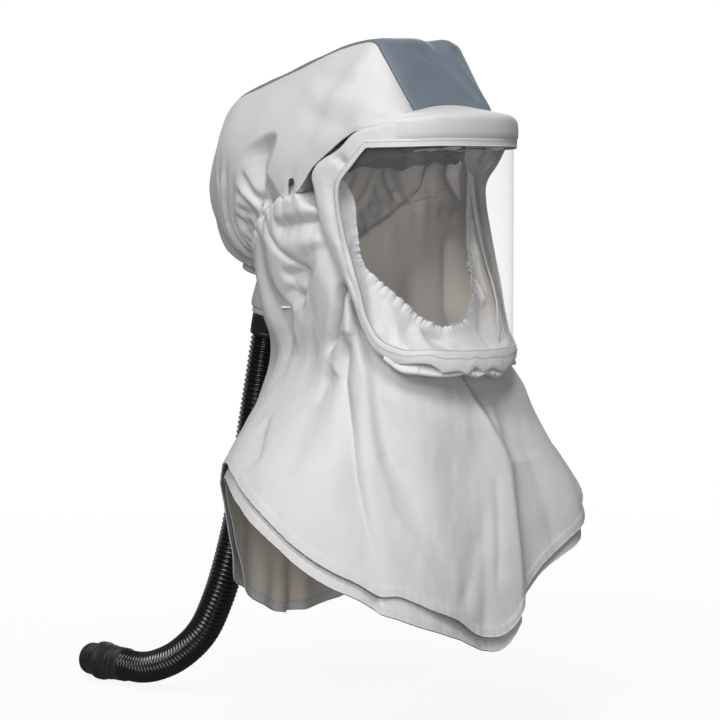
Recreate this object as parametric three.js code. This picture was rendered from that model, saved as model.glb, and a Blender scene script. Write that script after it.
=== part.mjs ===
// Powered air respirator hood with its hose, millimetres, +Z up.
// The wearer faces -Y; +X is the wearer's left. The origin is on the head axis at headband height.
import * as THREE from 'three';
import { mergeVertices } from 'three/addons/utils/BufferGeometryUtils.js';

// ---------------------------------------------------------------- driving sizes
const FABRIC = 1.6;            // coated fabric wall, crown and frame
const SEAM_GAP = 1.9;          // panel edges stand this far back from a seam line
const CAPE_WALL = 1.5;         // cape layers
const LAYER_GAP = 6.5;         // outer cape face to inner cape face
const INNER_DROP = 14;         // how far the inner cape hangs below the outer
const FILM_WALL = 1.0;         // clear visor film
const VISOR = { halfWidth: 91, backY: -55, depth: 87, power: 2.25, flare: 0.12, tail: 60 };
const CAPE_AXIS = { x: 0, y: -20 };
const CAPE_TUCK = 8;           // the cape's front top edge sits this far in behind the visor frame
const HEADBAND = { halfWidth: 78, halfDepth: 98, centreY: 2, height: 34, wall: 1.8, frontZ: 14, tilt: 0.22 };
const TAB = { x: 27, width: 18, y0: -95.7, y1: -135.5, z: 6, wall: 1.6 };
const HOSE = { radius: 15.2, sides: 12 };
const DUCT = { start: [0, 128, -162], dir: [0, 0.2225, -0.9749] };   // duct axis at the cuff's lower end
const CONNECTOR = { length: 58, radius: 19, bore: 11.5, boreDepth: 40 };

// ---------------------------------------------------------------- tables
// visor frame: window edge and outer edge, w = mm along the visor plan from its front, mirrored left and right
const FRAME = [
  // windowW, windowZ, outerW, outerZ
  [0, 11, 0, 36.5], [45, 11, 44, 36], [80, 10, 84, 31.5], [102, 9.5, 102, 28.5], [111, 8.5, 116, 24],
  [123, -6, 138, 7], [136, -22, 167, -9], [136, -37, 164, -30], [131, -60, 157, -60], [123, -87, 140, -91],
  [115, -112, 126, -114], [107, -138, 112, -146], [97, -154, 101, -163], [78, -163, 83, -173],
  [50, -166, 52, -178], [0, -168, 0, -180]];
// slate centre panel: half width and profile from the front lower corner over the roof to the nape
const SLATE = [
  // half, y, z
  [50, -110, 39], [52, -86, 72], [53, -66, 101], [52.5, -52, 102], [52, -27, 98], [50, 32, 81], [47, 85, 66],
  [45, 122, 54], [44, 134, 44], [43, 143, 27], [40, 160, -5], [40, 163, -18], [39, 161, -34], [38, 159, -50],
  [36, 155, -69], [35, 147, -82], [34, 129, -90], [33, 112, -95]];
const SLATE_ARCH = { back: 6, rise: 8 };   // its lower front edge arches up and back at the middle
const SLATE_CROWN = 3;                     // how far the panel stands proud between its seams
// crown shell, right half from the brow's middle (s = 0) to the nape (s = 17)
const CROWN = [
  // alongSlate, lowX, lowY, lowZ, bulge, skew
  [-50, 0, -142, 39.4, 1.5, 1.0], [-26, -38, -138, 38.6, 1.5, 1.0], [-6, -63, -125, 36.6, 2, 1.0],
  [2, -75, -113, 34.6, 3, 1.0], [18, -84.5, -98, 32, 4, 1.0], [42, -89, -82, 27, 6, 1.1],
  [64, -92, -59, 12.5, 8, 1.2], [82, -96, -34, -4, 10, 1.3], [104, -97, -16, -24, 12, 1.3],
  [138, -96, 8, -31, 14, 1.3], [172, -93, 30, -36, 16, 1.2], [205, -88, 47, -48, 20, 1.1],
  [243, -80, 62, -63, 22, 1.0], [278, -71, 73, -76, 20, 1.0], [310, -62, 81, -85, 18, 1.0],
  [345, -54, 89, -92, 14, 1.0], [375, -46, 97, -97, 8, 1.0], [396, -41, 104, -98, 3, 1.0]];
// crown folds: centre station, from and to (0 seam, 1 lower edge), depth, width in stations
const CROWN_FOLDS = [
  // s, t0, t1, depth, width
  [10.35, 0.58, 1.0, -9, 0.42], [9.3, 0.80, 1.0, 3, 0.5], [8.75, 0.86, 1.0, -5, 0.25],
  [11.6, 0.62, 1.0, -4, 0.3], [12.5, 0.6, 1.0, -4, 0.3], [13.4, 0.6, 1.0, -4, 0.35], [12.0, 0.6, 1.0, 3, 0.25]];
// cape sections: radius from the cape axis at eight bearings
const CAPE = [
  // z, front, frontRight, right, backRight, back, backLeft, left, frontLeft
  [-20, 100, 104, 97, 112, 108, 112, 97, 104], [-60, 102, 104, 97, 113, 106, 113, 97, 106],
  [-100, 104, 105, 92, 110, 104, 110, 92, 108], [-140, 106, 108, 85, 101, 105, 101, 87, 113],
  [-175, 108, 110, 83, 93, 104, 96, 92, 116], [-205, 112, 118, 98, 105, 105, 110, 108, 130],
  [-235, 119, 130, 124, 121, 108, 126, 132, 144], [-265, 127, 144, 156, 138, 113, 142, 158, 160],
  [-300, 137, 160, 176, 146, 120, 152, 180, 177], [-350, 150, 178, 192, 145, 126, 154, 194, 186],
  [-400, 158, 190, 203, 144, 131, 152, 204, 192], [-440, 163, 198, 208, 144, 133, 152, 208, 196]];
// cape edges: bearing in degrees (0 front, negative to the wearer's right), top and hem heights
const EDGE = [
  // bearing, top, hem
  [-180, -109, -405], [-165, -106, -396], [-150, -92, -374], [-142, -80, -340], [-133, -69, -304],
  [-122, -53, -276], [-110, -40, -262], [-98, -33, -270], [-90, -31, -284], [-82, -42, -302], [-75, -66, -316],
  [-68, -92, -330], [-60, -119, -343], [-52, -146, -355], [-45, -162, -365], [-35, -176, -378],
  [-20, -184, -393], [-8, -186, -405], [0, -187, -411], [6, -187, -405], [12, -186, -385], [20, -184, -371],
  [30, -183, -357], [40, -179, -344], [48, -164, -322], [60, -119, -300], [68, -92, -288], [75, -66, -280],
  [82, -42, -274], [90, -31, -270], [98, -33, -268], [110, -40, -275], [122, -53, -310], [133, -69, -360],
  [142, -80, -392], [150, -92, -403], [165, -106, -406], [180, -109, -405]];
// cape folds: three points (bearing, z) along each, then depth (+ out) and half width
const CAPE_FOLDS = [
  // b0, z0, b1, z1, b2, z2, depth, width
  [-61, -122, -57, -240, -46, -365, -8, 9], [-57, -160, -50, -255, -39, -385, 7, 8],
  [-54, -164, -46, -260, -31, -372, -8, 9], [-74, -74, -85, -110, -96, -140, 5, 8],
  [-67, -131, -71, -161, -79, -178, -6, 10], [-68, -182, -80, -224, -73, -262, -6, 12],
  [-4, -195, 3, -218, 10, -250, -6, 8], [12, -240, 5, -310, -3, -425, 8, 10],
  [18, -240, 15, -310, 13, -410, -10, 10], [-6, -323, -14, -362, -20, -405, -5, 9],
  [-104, -50, -92, -51, -79, -50, -5, 7], [-109, -52, -104, -68, -97, -88, -5, 6],
  [-118, -60, -115, -90, -111, -128, 5, 8], [57, -150, 52, -240, 42, -350, -6, 11],
  [75, -120, 78, -190, 72, -280, -5, 12], [150, -130, 152, -250, 154, -410, 5, 14],
  [-158, -130, -160, -250, -161, -410, 5, 14], [118, -90, 116, -150, 108, -260, -5, 12]];
// face seal: gathered face edge, and the edge held inside the visor frame
const SEAL = [
  // faceX, faceY, faceZ, frameW, frameZ, sag
  [70, -58, 6, 134, 2, 0], [70, -60, -22, 133, -24, 1], [70, -60, -60, 128, -60, 2], [66, -66, -92, 119, -90, 3],
  [57, -78, -107, 110, -120, 5], [46, -90, -121, 102, -144, 6], [32, -97, -135, 85, -157, 6],
  [18, -101, -143, 54, -161, 5], [0, -103, -146, 0, -163, 4]];
// puckered roll below the chin band: offset from the visor plan down its section
const ROLL = [
  // z, offset, pucker
  [-174, -2.5, 0], [-180.5, -2, 0.2], [-183, 0.8, 0.6], [-187, 1.6, 1], [-190, -1, 1], [-190, -4, 0.6], [-187, -7, 0]];
// hose centre line (all in the plane X = 0)
const ROUTE = [
  // y, z
  [149, -254], [166, -330], [182, -379], [199, -418], [221, -452], [256, -479], [290, -493.5], [312, -498], [333, -498.3]];

// ---------------------------------------------------------------- small maths
const rad = Math.PI / 180;
const clamp = (v, a, b) => Math.min(b, Math.max(a, v));
const ramp = (a, b, v) => { const t = clamp((v - a) / (b - a), 0, 1); return t * t * (3 - 2 * t); };
const V = (x, y, z) => new THREE.Vector3(x, y, z);

// smooth curve through the rows of a table; keys rise
function through(keys, rows, at) {
  const n = keys.length;
  let i = 0;
  while (i < n - 2 && at >= keys[i + 1]) i++;
  const h = keys[i + 1] - keys[i], t = clamp((at - keys[i]) / h, 0, 1);
  const slope = (k, c) => (rows[k + 1][c] - rows[k][c]) / (keys[k + 1] - keys[k]);
  const tangent = (k, c) => {
    if (k === 0) return slope(0, c);
    if (k === n - 1) return slope(n - 2, c);
    const a = keys[k] - keys[k - 1], b = keys[k + 1] - keys[k];
    return (slope(k - 1, c) * b + slope(k, c) * a) / (a + b);
  };
  const t2 = t * t, t3 = t2 * t;
  return rows[0].map((_, c) => (2 * t3 - 3 * t2 + 1) * rows[i][c] + (t3 - 2 * t2 + t) * h * tangent(i, c)
    + (3 * t2 - 2 * t3) * rows[i + 1][c] + (t3 - t2) * h * tangent(i + 1, c));
}
const running = (pts) => pts.reduce((out, p, i) => {
  out.push(i ? out[i - 1] + Math.hypot(...p.map((v, c) => v - pts[i - 1][c])) : 0);
  return out;
}, []);

// ---------------------------------------------------------------- sheet solids
function solid(points, faces) {
  const g = new THREE.BufferGeometry();
  g.setAttribute('position', new THREE.Float32BufferAttribute(points.flatMap((p) => [p.x, p.y, p.z]), 3));
  let vol = 0;
  for (const [a, b, c] of faces) vol += points[a].dot(V().crossVectors(points[b], points[c]));
  g.setIndex(faces.flatMap(([a, b, c]) => (vol < 0 ? [a, c, b] : [a, b, c])));
  const m = mergeVertices(g, 1e-3);
  m.computeVertexNormals();
  return m;
}
// a wall from two point grids, outer[i][j] and inner[i][j]; around = the first index closes on itself
function wall(outer, inner, around) {
  const n = outer.length, m = outer[0].length, pts = [...outer.flat(), ...inner.flat()], faces = [];
  const id = (side, i, j) => side * n * m + (i % n) * m + j;
  const quad = (a, b, c, d) => faces.push([a, b, c], [a, c, d]);
  const last = around ? n : n - 1;
  for (let i = 0; i < last; i++) for (let j = 0; j < m - 1; j++) {
    quad(id(0, i, j), id(0, i + 1, j), id(0, i + 1, j + 1), id(0, i, j + 1));
    quad(id(1, i, j), id(1, i, j + 1), id(1, i + 1, j + 1), id(1, i + 1, j));
  }
  for (let i = 0; i < last; i++) {
    quad(id(0, i + 1, 0), id(0, i, 0), id(1, i, 0), id(1, i + 1, 0));
    quad(id(0, i, m - 1), id(0, i + 1, m - 1), id(1, i + 1, m - 1), id(1, i, m - 1));
  }
  if (!around) for (let j = 0; j < m - 1; j++) {
    quad(id(0, 0, j), id(0, 0, j + 1), id(1, 0, j + 1), id(1, 0, j));
    quad(id(0, n - 1, j + 1), id(0, n - 1, j), id(1, n - 1, j), id(1, n - 1, j + 1));
  }
  return solid(pts, faces);
}
// a wall of even thickness about a middle surface
function slab(mid, thick, around) {
  const n = mid.length, m = mid[0].length;
  const at = (i, j) => mid[around ? (i + n) % n : clamp(i, 0, n - 1)][clamp(j, 0, m - 1)];
  const shift = (k) => mid.map((row, i) => row.map((p, j) => {
    const du = at(i + 1, j).clone().sub(at(i - 1, j)), dv = at(i, j + 1).clone().sub(at(i, j - 1));
    return p.clone().addScaledVector(du.cross(dv).normalize(), k * thick / 2);
  }));
  return wall(shift(1), shift(-1), around);
}

// ---------------------------------------------------------------- visor plan
const PLAN = (() => {
  const pts = [];
  for (let i = 0; i <= 240; i++) {
    const a = i / 240 * Math.PI / 2, e = 2 / VISOR.power;
    pts.push([VISOR.halfWidth * Math.sin(a) ** e, VISOR.backY - VISOR.depth * Math.max(0, Math.cos(a)) ** e]);
  }
  pts.push([VISOR.halfWidth + VISOR.flare * VISOR.tail, VISOR.backY + VISOR.tail]);
  return { pts, run: running(pts) };
})();
function planAt(w) {
  const { pts, run } = PLAN, a = Math.abs(w);
  let i = 0;
  while (i < run.length - 2 && a > run[i + 1]) i++;
  const t = (a - run[i]) / (run[i + 1] - run[i]);
  return [Math.sign(w || 1) * (pts[i][0] + (pts[i + 1][0] - pts[i][0]) * t), pts[i][1] + (pts[i + 1][1] - pts[i][1]) * t];
}
function onPlan(w, z, off) {
  const [x, y] = planAt(w), [x1, y1] = planAt(w + 0.6), [x0, y0] = planAt(w - 0.6);
  const l = Math.hypot(x1 - x0, y1 - y0);
  return V(x + (y1 - y0) / l * off, y - (x1 - x0) / l * off, z);
}

// ---------------------------------------------------------------- visor frame and film
const FRAME_RUN = running(FRAME.map(([a, b, c, d]) => [(a + c) / 2, (b + d) / 2]));
const frameAt = (k) => through(FRAME_RUN, FRAME, k * FRAME_RUN[FRAME_RUN.length - 1]);
function frameRing(rows, off) {           // once round: brow, right side, chin, left side
  const half = 27, grid = [];
  for (let i = 0; i < 2 * half; i++) {
    const right = i <= half, k = right ? i / half : (2 * half - i) / half, [ww, wz, ow, oz] = frameAt(k);
    grid.push(rows.map((t) => onPlan((right ? -1 : 1) * (ww + (ow - ww) * t), wz + (oz - wz) * t, off(t, k))));
  }
  return grid;
}
const puff = (t) => 1.6 * Math.sin(Math.PI * t) ** 0.8;
const frameRows = [0, 0.18, 0.5, 0.82, 1];
const visorFrame = wall(frameRing(frameRows, (t) => 2.4 + puff(t)), frameRing(frameRows, () => 1.0), true);
function filmGrid(off) {
  const grid = [], cols = 30, zs = [24, 8, -9, -30, -60, -91, -114, -146, -160, -166];
  const reach = (z) => {                  // the film's side edge runs mid-way behind the frame
    let best = 200;
    for (let k = 0.12; k < 0.97; k += 0.004) {
      const [ww, wz, ow, oz] = frameAt(k), zz = (wz + oz) / 2;
      if (Math.abs(zz - z) < 1.2) best = Math.min(best, (ww + ow) / 2);
    }
    return Math.min(best, 148);
  };
  for (let i = 0; i <= cols; i++) grid.push(zs.map((z) => onPlan((2 * i / cols - 1) * reach(z), z, off)));
  return grid;
}
const visorFilm = wall(filmGrid(FILM_WALL * 0.4), filmGrid(-FILM_WALL * 0.6), false);

// ---------------------------------------------------------------- crown
const SLATE_RUN = running(SLATE.map((r) => r.slice(1)));
const SLATE_LENGTH = SLATE_RUN[SLATE_RUN.length - 1];
const slateAt = (d) => through(SLATE_RUN, SLATE, clamp(d, 0, SLATE_LENGTH));
const CROWN_KEYS = CROWN.map((_, i) => i);
function crownEnds(s) {
  const [d, lx, ly, lz, bulge, skew] = through(CROWN_KEYS, CROWN, s);
  let top;
  if (d < 0) {
    const q = 1 - (1 - clamp(-d / 50, 0, 1)) ** 2;
    top = V(d - -50 === 0 ? 0 : -50 * (1 - clamp(-d / 50, 0, 1)), -110 + SLATE_ARCH.back * q, 39 + SLATE_ARCH.rise * q);
  } else { const [h, y, z] = slateAt(d); top = V(-h, y, z); }
  return { top, low: V(lx, ly, lz), bulge, skew };
}
function crownPoint(s, t) {
  const c = crownEnds(s), a = crownEnds(clamp(s - 0.05, 0, 17)), b = crownEnds(clamp(s + 0.05, 0, 17));
  const along = b.top.clone().add(b.low).sub(a.top).sub(a.low);
  const n = along.cross(c.low.clone().sub(c.top)).normalize();
  const out = c.top.clone().add(c.low).multiplyScalar(0.5).sub(V(0, 20, 0));
  if (n.dot(out) < 0) n.negate();
  const tt = t ** c.skew;
  let lift = c.bulge * 4 * tt * (1 - tt);
  for (const [fs, t0, t1, depth, width] of CROWN_FOLDS)
    lift += depth * Math.exp(-(((s - fs) / width) ** 2)) * ramp(t0, t0 + (t1 - t0) * 0.5, t);
  return c.top.clone().lerp(c.low, t).addScaledVector(n, lift);
}
function crownGrid() {
  const grid = [], cols = 30, rows = 9;
  for (let i = -cols; i <= cols; i++) {
    const s = 17 * (Math.abs(i) / cols), ends = crownEnds(s), row = [];
    const inset = SEAM_GAP / ends.top.distanceTo(ends.low);
    for (let j = 0; j <= rows; j++) {
      const p = crownPoint(s, inset + (1 - inset) * j / rows);
      row.push(V(i < 0 ? p.x : -p.x, p.y, p.z));
    }
    grid.push(row);
  }
  return grid;
}
const crownShell = slab(crownGrid(), FABRIC, false);
function slateGrid() {
  const grid = [], across = 6, along = 28;
  for (let i = 0; i <= along; i++) {
    const d = SLATE_LENGTH * i / along, [h, y, z] = slateAt(d), [, y1, z1] = slateAt(d + 1), [, y0, z0] = slateAt(d - 1);
    const l = Math.hypot(y1 - y0, z1 - z0), ny = -(z1 - z0) / l, nz = (y1 - y0) / l, row = [];
    for (let j = 0; j <= across; j++) {
      const q = 2 * j / across - 1, arch = (1 - q * q) * (1 - ramp(0, 50, d)), proud = SLATE_CROWN * (1 - q ** 4) * ramp(0, 40, d);
      row.push(V((h - SEAM_GAP * 0.7) * q, y + SLATE_ARCH.back * arch + ny * proud, z + SLATE_ARCH.rise * arch + nz * proud));
    }
    grid.push(row);
  }
  return grid;
}
const topPanel = slab(slateGrid(), FABRIC, false);

// ---------------------------------------------------------------- cape
const CAPE_KEYS = CAPE.map((r) => -r[0]);
function capeRadius(b, z) {
  const cols = through(CAPE_KEYS, CAPE, clamp(-z, 20, 440)).slice(1), a = (((-b % 360) + 360) % 360) / 45;
  const i = Math.floor(a), t = a - i, g = (k) => cols[(i + k + 8) % 8];
  const [p0, p1, p2, p3] = [g(-1), g(0), g(1), g(2)];
  return 0.5 * (2 * p1 + (p2 - p0) * t + (2 * p0 - 5 * p1 + 4 * p2 - p3) * t * t + (3 * p1 - p0 - 3 * p2 + p3) * t ** 3);
}
function foldLift(b, z, r) {
  let lift = 0;
  for (const [b0, z0, b1, z1, b2, z2, depth, width] of CAPE_FOLDS) {
    const k = r * rad;
    let near = Infinity, along = 0;
    [[b0, z0, b1, z1, 0], [b1, z1, b2, z2, 0.5]].forEach(([ba, za, bb, zb, base]) => {
      const ux = (bb - ba) * k, uz = zb - za, px = (b - ba) * k, pz = z - za;
      const t = clamp((px * ux + pz * uz) / (ux * ux + uz * uz), 0, 1), d = Math.hypot(px - t * ux, pz - t * uz);
      if (d < near) { near = d; along = base + t / 2; }
    });
    lift += depth * Math.exp(-((near / width) ** 2)) * ramp(0, 0.22, along) * (z2 < -340 ? 1 : 1 - ramp(0.75, 1, along) * 0.7);
  }
  return lift;
}
const EDGE_KEYS = EDGE.map((r) => r[0]);
const edgeAt = (b) => through(EDGE_KEYS, EDGE, b);
const CAPE_BEARINGS = (() => {             // closer together over the front folds
  const out = [];
  for (let b = -180; b < 180;) { out.push(b); b += b >= -75 && b < 21 ? 4 : b >= -123 && b < -75 ? 6 : 9; }
  return out;
})();
function capeGrid(rows, dr, topOf, drop) {
  return CAPE_BEARINGS.map((b) => rows.map((t) => {
    const [, top, hem] = edgeAt(b), z0 = topOf(top, hem), z = z0 + (hem - drop - z0) * t;
    const base = capeRadius(b, z), tuck = CAPE_TUCK * (1 - ramp(0, 0.22, (z - top) / (hem - top))) * (1 - ramp(76, 96, Math.abs(b)));
    const r = base + foldLift(b, z, base) + dr - tuck;
    return V(CAPE_AXIS.x + r * Math.sin(b * rad), CAPE_AXIS.y - r * Math.cos(b * rad), z);
  }));
}
const even = (n) => Array.from({ length: n + 1 }, (_, i) => i / n);
const fromTop = (top) => top;
const capeOuter = wall(capeGrid(even(11), 0, fromTop, 0), capeGrid(even(11), -CAPE_WALL, fromTop, 0), true);
const neckline = (top, hem) => Math.min(top - 30, -195) * 0.6 + (hem + 60) * 0.4;
const capeInner = wall(capeGrid(even(6), -LAYER_GAP, neckline, INNER_DROP),
  capeGrid(even(6), -LAYER_GAP - CAPE_WALL, neckline, INNER_DROP), true);

// ---------------------------------------------------------------- face seal, chin roll
const SEAL_KEYS = running(SEAL.map((r) => r.slice(0, 3)));
function sealGrid() {
  const grid = [], half = 20, rows = [0, 0.3, 0.65, 1];
  for (let i = -half; i <= half; i++) {
    const side = i < 0 ? -1 : 1, k = SEAL_KEYS[SEAL_KEYS.length - 1] * (1 - Math.abs(i) / half);
    const [fx, fy, fz, w, z, sag] = through(SEAL_KEYS, SEAL, k), held = onPlan(side * w, z, -5);
    grid.push(rows.map((t) => {
      const p = V(side * fx, fy, fz).lerp(held, t);
      p.z -= sag * 4 * t * (1 - t);
      p.y += sag * 0.5 * 4 * t * (1 - t);
      return p;
    }));
  }
  return grid;
}
const faceSeal = slab(sealGrid(), 1.2, false);
const ROLL_KEYS = running(ROLL.map((r) => r.slice(0, 2)));
function rollGrid() {
  const grid = [], cols = 30, reach = 80, rows = 6;
  for (let i = 0; i <= cols; i++) {
    const w = (2 * i / cols - 1) * reach, lift = 15 * (1 - Math.cos(Math.PI * w / reach / 2)) ** 1.2, row = [];
    const pucker = Math.sin(w * 0.27) * 0.9 + Math.sin(w * 0.61 + 1) * 0.7, ends = ramp(0.35, 0.8, Math.abs(w) / reach);
    for (let j = 0; j <= rows; j++) {
      const [z, off, gain] = through(ROLL_KEYS, ROLL, ROLL_KEYS[ROLL_KEYS.length - 1] * j / rows);
      row.push(onPlan(w, z + lift * (0.35 + 0.65 * gain) + pucker * gain * 0.8, off + pucker * gain * (1 - ends) - 5 * ends * gain));
    }
    grid.push(row);
  }
  return grid;
}
const chinRoll = slab(rollGrid(), 1.2, false);

// ---------------------------------------------------------------- headband and its hanger tabs
function bandGrid(grow) {
  const grid = [], cols = 40;
  for (let i = 0; i < cols; i++) {
    const a = i / cols * 2 * Math.PI, y = HEADBAND.centreY - (HEADBAND.halfDepth + grow) * Math.cos(a);
    const mid = HEADBAND.frontZ - HEADBAND.tilt * (y + HEADBAND.halfDepth - HEADBAND.centreY);
    grid.push([0.5, -0.5].map((k) => V((HEADBAND.halfWidth + grow) * Math.sin(a), y, mid + k * HEADBAND.height)));
  }
  return grid;
}
const headband = wall(bandGrid(HEADBAND.wall), bandGrid(0), true);
function hangerTab(side) {
  const g = new THREE.BoxGeometry(TAB.width, TAB.y0 - TAB.y1, TAB.wall);
  g.translate(side * TAB.x, (TAB.y0 + TAB.y1) / 2, TAB.z);
  return g;
}

// ---------------------------------------------------------------- air spout, cuff, hose, connector
const ductDir = V(...DUCT.dir).normalize(), ductEnd = V(...DUCT.start);
// turned profile about the duct axis: up = mm back up the duct from the cuff's lower end
function turned(profile, origin, dir, sides) {
  const g = new THREE.LatheGeometry(profile.map(([r, up]) => new THREE.Vector2(r, up)), sides);
  g.deleteAttribute('normal'); g.deleteAttribute('uv');
  const m = mergeVertices(g, 1e-3);
  m.applyQuaternion(new THREE.Quaternion().setFromUnitVectors(V(0, 1, 0), dir.clone().negate()));
  m.translate(origin.x, origin.y, origin.z);
  const pts = [], p = m.getAttribute('position');
  for (let i = 0; i < p.count; i++) pts.push(V(p.getX(i), p.getY(i), p.getZ(i)));
  const faces = [], ix = m.getIndex();
  for (let i = 0; i < ix.count; i += 3) {
    const f = [ix.getX(i), ix.getX(i + 1), ix.getX(i + 2)];
    if (new Set(f).size === 3) faces.push(f);
  }
  return solid(pts, faces);
}
const airSpout = turned([[13, 20.3], [13, 65], [26, 65], [26, 60.5], [17, 58], [18.5, 45], [20, 30], [20, 27],
  [17.8, 25], [17.8, 20.3], [13, 20.3]], ductEnd, ductDir, 32);
const hoseCuff = turned([[13, 0.3], [13, 20], [16.2, 20], [17, 18.5], [17, 1.6], [16.2, 0.3], [13, 0.3]], ductEnd, ductDir, 32);
const routePoints = [ductEnd.clone(), ...ROUTE.map(([y, z]) => V(0, y, z))];
const route = new THREE.CatmullRomCurve3(routePoints, false, 'centripetal');
const ring = new THREE.Shape(Array.from({ length: HOSE.sides }, (_, i) => {
  const a = i / HOSE.sides * 2 * Math.PI;
  return new THREE.Vector2(HOSE.radius * Math.cos(a), HOSE.radius * Math.sin(a));
}));
const hoseTube = (() => {
  const g = new THREE.ExtrudeGeometry(ring, { steps: 18, extrudePath: route, bevelEnabled: false });
  g.deleteAttribute('normal'); g.deleteAttribute('uv');
  return mergeVertices(g, 1e-3);
})();
const endDir = V(0, 1, 0), connectorStart = routePoints[routePoints.length - 1].clone().add(V(0, 0.35, 0));
const connectorFar = connectorStart.clone().addScaledVector(endDir, CONNECTOR.length);
const { length: CL, radius: CR, bore: CB, boreDepth: CD } = CONNECTOR;
const hoseConnector = turned([[0, CL], [16.6, CL], [16.6, CL - 20], [17.4, CL - 22], [17.4, CL - 30], [CR, CL - 32], [CR, CL - 38],
  [16, CL - 40], [16, 3], [15, 0], [CB, 0], [CB, CD], [0, CD], [0, CL]], connectorFar, endDir, 32);

// ---------------------------------------------------------------- sewn-in tag
function seamTag() {
  const z = -130, b = -114, r0 = capeRadius(b, z), r = r0 + foldLift(b, z, r0) + 1.3;
  const g = new THREE.BoxGeometry(11, 0.6, 3.2);
  g.rotateZ((b + 32) * rad);
  g.translate(CAPE_AXIS.x + (r + 3) * Math.sin(b * rad), CAPE_AXIS.y - (r + 3) * Math.cos(b * rad), z);
  return g;
}

// ---------------------------------------------------------------- the assembly
const group = new THREE.Group();
group.name = 'powered_air_hood';
function add(name, geometry, color, roughness, metalness = 0) {
  const mesh = new THREE.Mesh(geometry, new THREE.MeshStandardMaterial({ color, roughness, metalness }));
  mesh.name = name;
  group.add(mesh);
}
add('crown_shell', crownShell, 0xd4d4d3, 0.62);
add('top_panel', topPanel, 0x7b8794, 0.62);
add('visor_frame', visorFrame, 0xd8d8d7, 0.6);
add('visor_film', visorFilm, 0xeef2f5, 0.05);
add('chin_roll', chinRoll, 0xd6d6d4, 0.65);
add('face_seal', faceSeal, 0xdcdcdb, 0.7);
add('headband', headband, 0x46494c, 0.75);
add('hanger_tab_right', hangerTab(-1), 0xd9d9d9, 0.35);
add('hanger_tab_left', hangerTab(1), 0xd9d9d9, 0.35);
add('cape_outer', capeOuter, 0xd2d2d1, 0.62);
add('cape_inner', capeInner, 0xc9c7c3, 0.66);
add('seam_tag', seamTag(), 0xf2f2f0, 0.7);
add('air_spout', airSpout, 0xc6c4c0, 0.5);
add('hose_cuff', hoseCuff, 0x1b1b20, 0.4);
add('hose', hoseTube, 0x15151a, 0.4);
add('hose_connector', hoseConnector, 0x1d1d21, 0.45);
export default group;
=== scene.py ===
import math
import bpy
import numpy as np
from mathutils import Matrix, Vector


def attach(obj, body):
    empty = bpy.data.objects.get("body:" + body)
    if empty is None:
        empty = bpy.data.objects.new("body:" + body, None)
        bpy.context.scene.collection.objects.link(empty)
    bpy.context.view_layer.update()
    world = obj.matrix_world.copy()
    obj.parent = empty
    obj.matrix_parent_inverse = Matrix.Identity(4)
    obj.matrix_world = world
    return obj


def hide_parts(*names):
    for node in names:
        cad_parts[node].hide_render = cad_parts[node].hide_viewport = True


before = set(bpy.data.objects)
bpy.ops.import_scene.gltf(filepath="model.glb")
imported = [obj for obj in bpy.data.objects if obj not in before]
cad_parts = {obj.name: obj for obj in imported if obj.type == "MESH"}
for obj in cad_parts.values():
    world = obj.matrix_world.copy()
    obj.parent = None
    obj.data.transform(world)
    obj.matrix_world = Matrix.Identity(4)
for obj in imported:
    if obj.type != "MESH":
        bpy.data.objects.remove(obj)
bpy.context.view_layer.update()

# Powered air respirator hood. Shapes are worked out in millimetres in the CAD frame
# (+Z up, the wearer faces -Y, +X is the wearer's left) and put into the scene in metres.

scene = bpy.context.scene
MM = 0.001
RAD = math.pi / 180

# ------------------------------------------------------------------ camera
HALF = math.sqrt(0.5)
PITCH = math.atan(175 / 2778.0)
look = Vector((HALF * math.cos(PITCH), HALF * math.cos(PITCH), -math.sin(PITCH)))
cam_data = bpy.data.cameras.new("camera")
cam_data.sensor_width = 36.0
cam_data.lens = 36.0 * 2778 / 720
cam_data.clip_end = 60
cam = bpy.data.objects.new("camera", cam_data)
scene.collection.objects.link(cam)
cam.location = (-2.5 * HALF - 0.0045 * HALF, -2.5 * HALF + 0.0045 * HALF, -0.0225)
cam.rotation_mode = "QUATERNION"
cam.rotation_quaternion = look.to_track_quat("-Z", "Y")
scene.camera = cam

# ------------------------------------------------------------------ tables, as in the CAD source
VISOR = dict(half=91.0, back=-55.0, depth=87.0, power=2.25, flare=0.12, tail=60.0)
FRAME = np.array([  # window w, window z, outer w, outer z
    [0, 11, 0, 36.5], [45, 11, 44, 36], [80, 10, 84, 31.5], [102, 9.5, 102, 28.5], [109.5, 9, 113, 25], [111.5, 7, 118, 22.6],
    [123, -6, 138, 7], [135, -20.5, 164, -7], [136.2, -24, 167, -12], [136, -37, 164, -30], [131, -60, 157, -60], [123, -87, 140, -91],
    [115, -112, 126, -114], [107, -138, 112, -146], [97, -154, 101, -163], [78, -163, 83, -173],
    [50, -166, 52, -178], [0, -168, 0, -180]], float)
SLATE = np.array([  # half, y, z
    [50, -110, 39], [52, -86, 72], [52.9, -70.5, 94.5], [53, -66.5, 100], [52.9, -61, 102], [52.5, -52, 101.8], [52, -27, 98], [50, 32, 81], [47, 85, 66],
    [45, 122, 54], [44, 134, 44], [43, 143, 27], [40, 160, -5], [40, 163, -18], [39, 161, -34], [38, 159, -50],
    [36, 155, -69], [35, 147, -82], [34, 129, -90], [33, 112, -95]], float)
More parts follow.
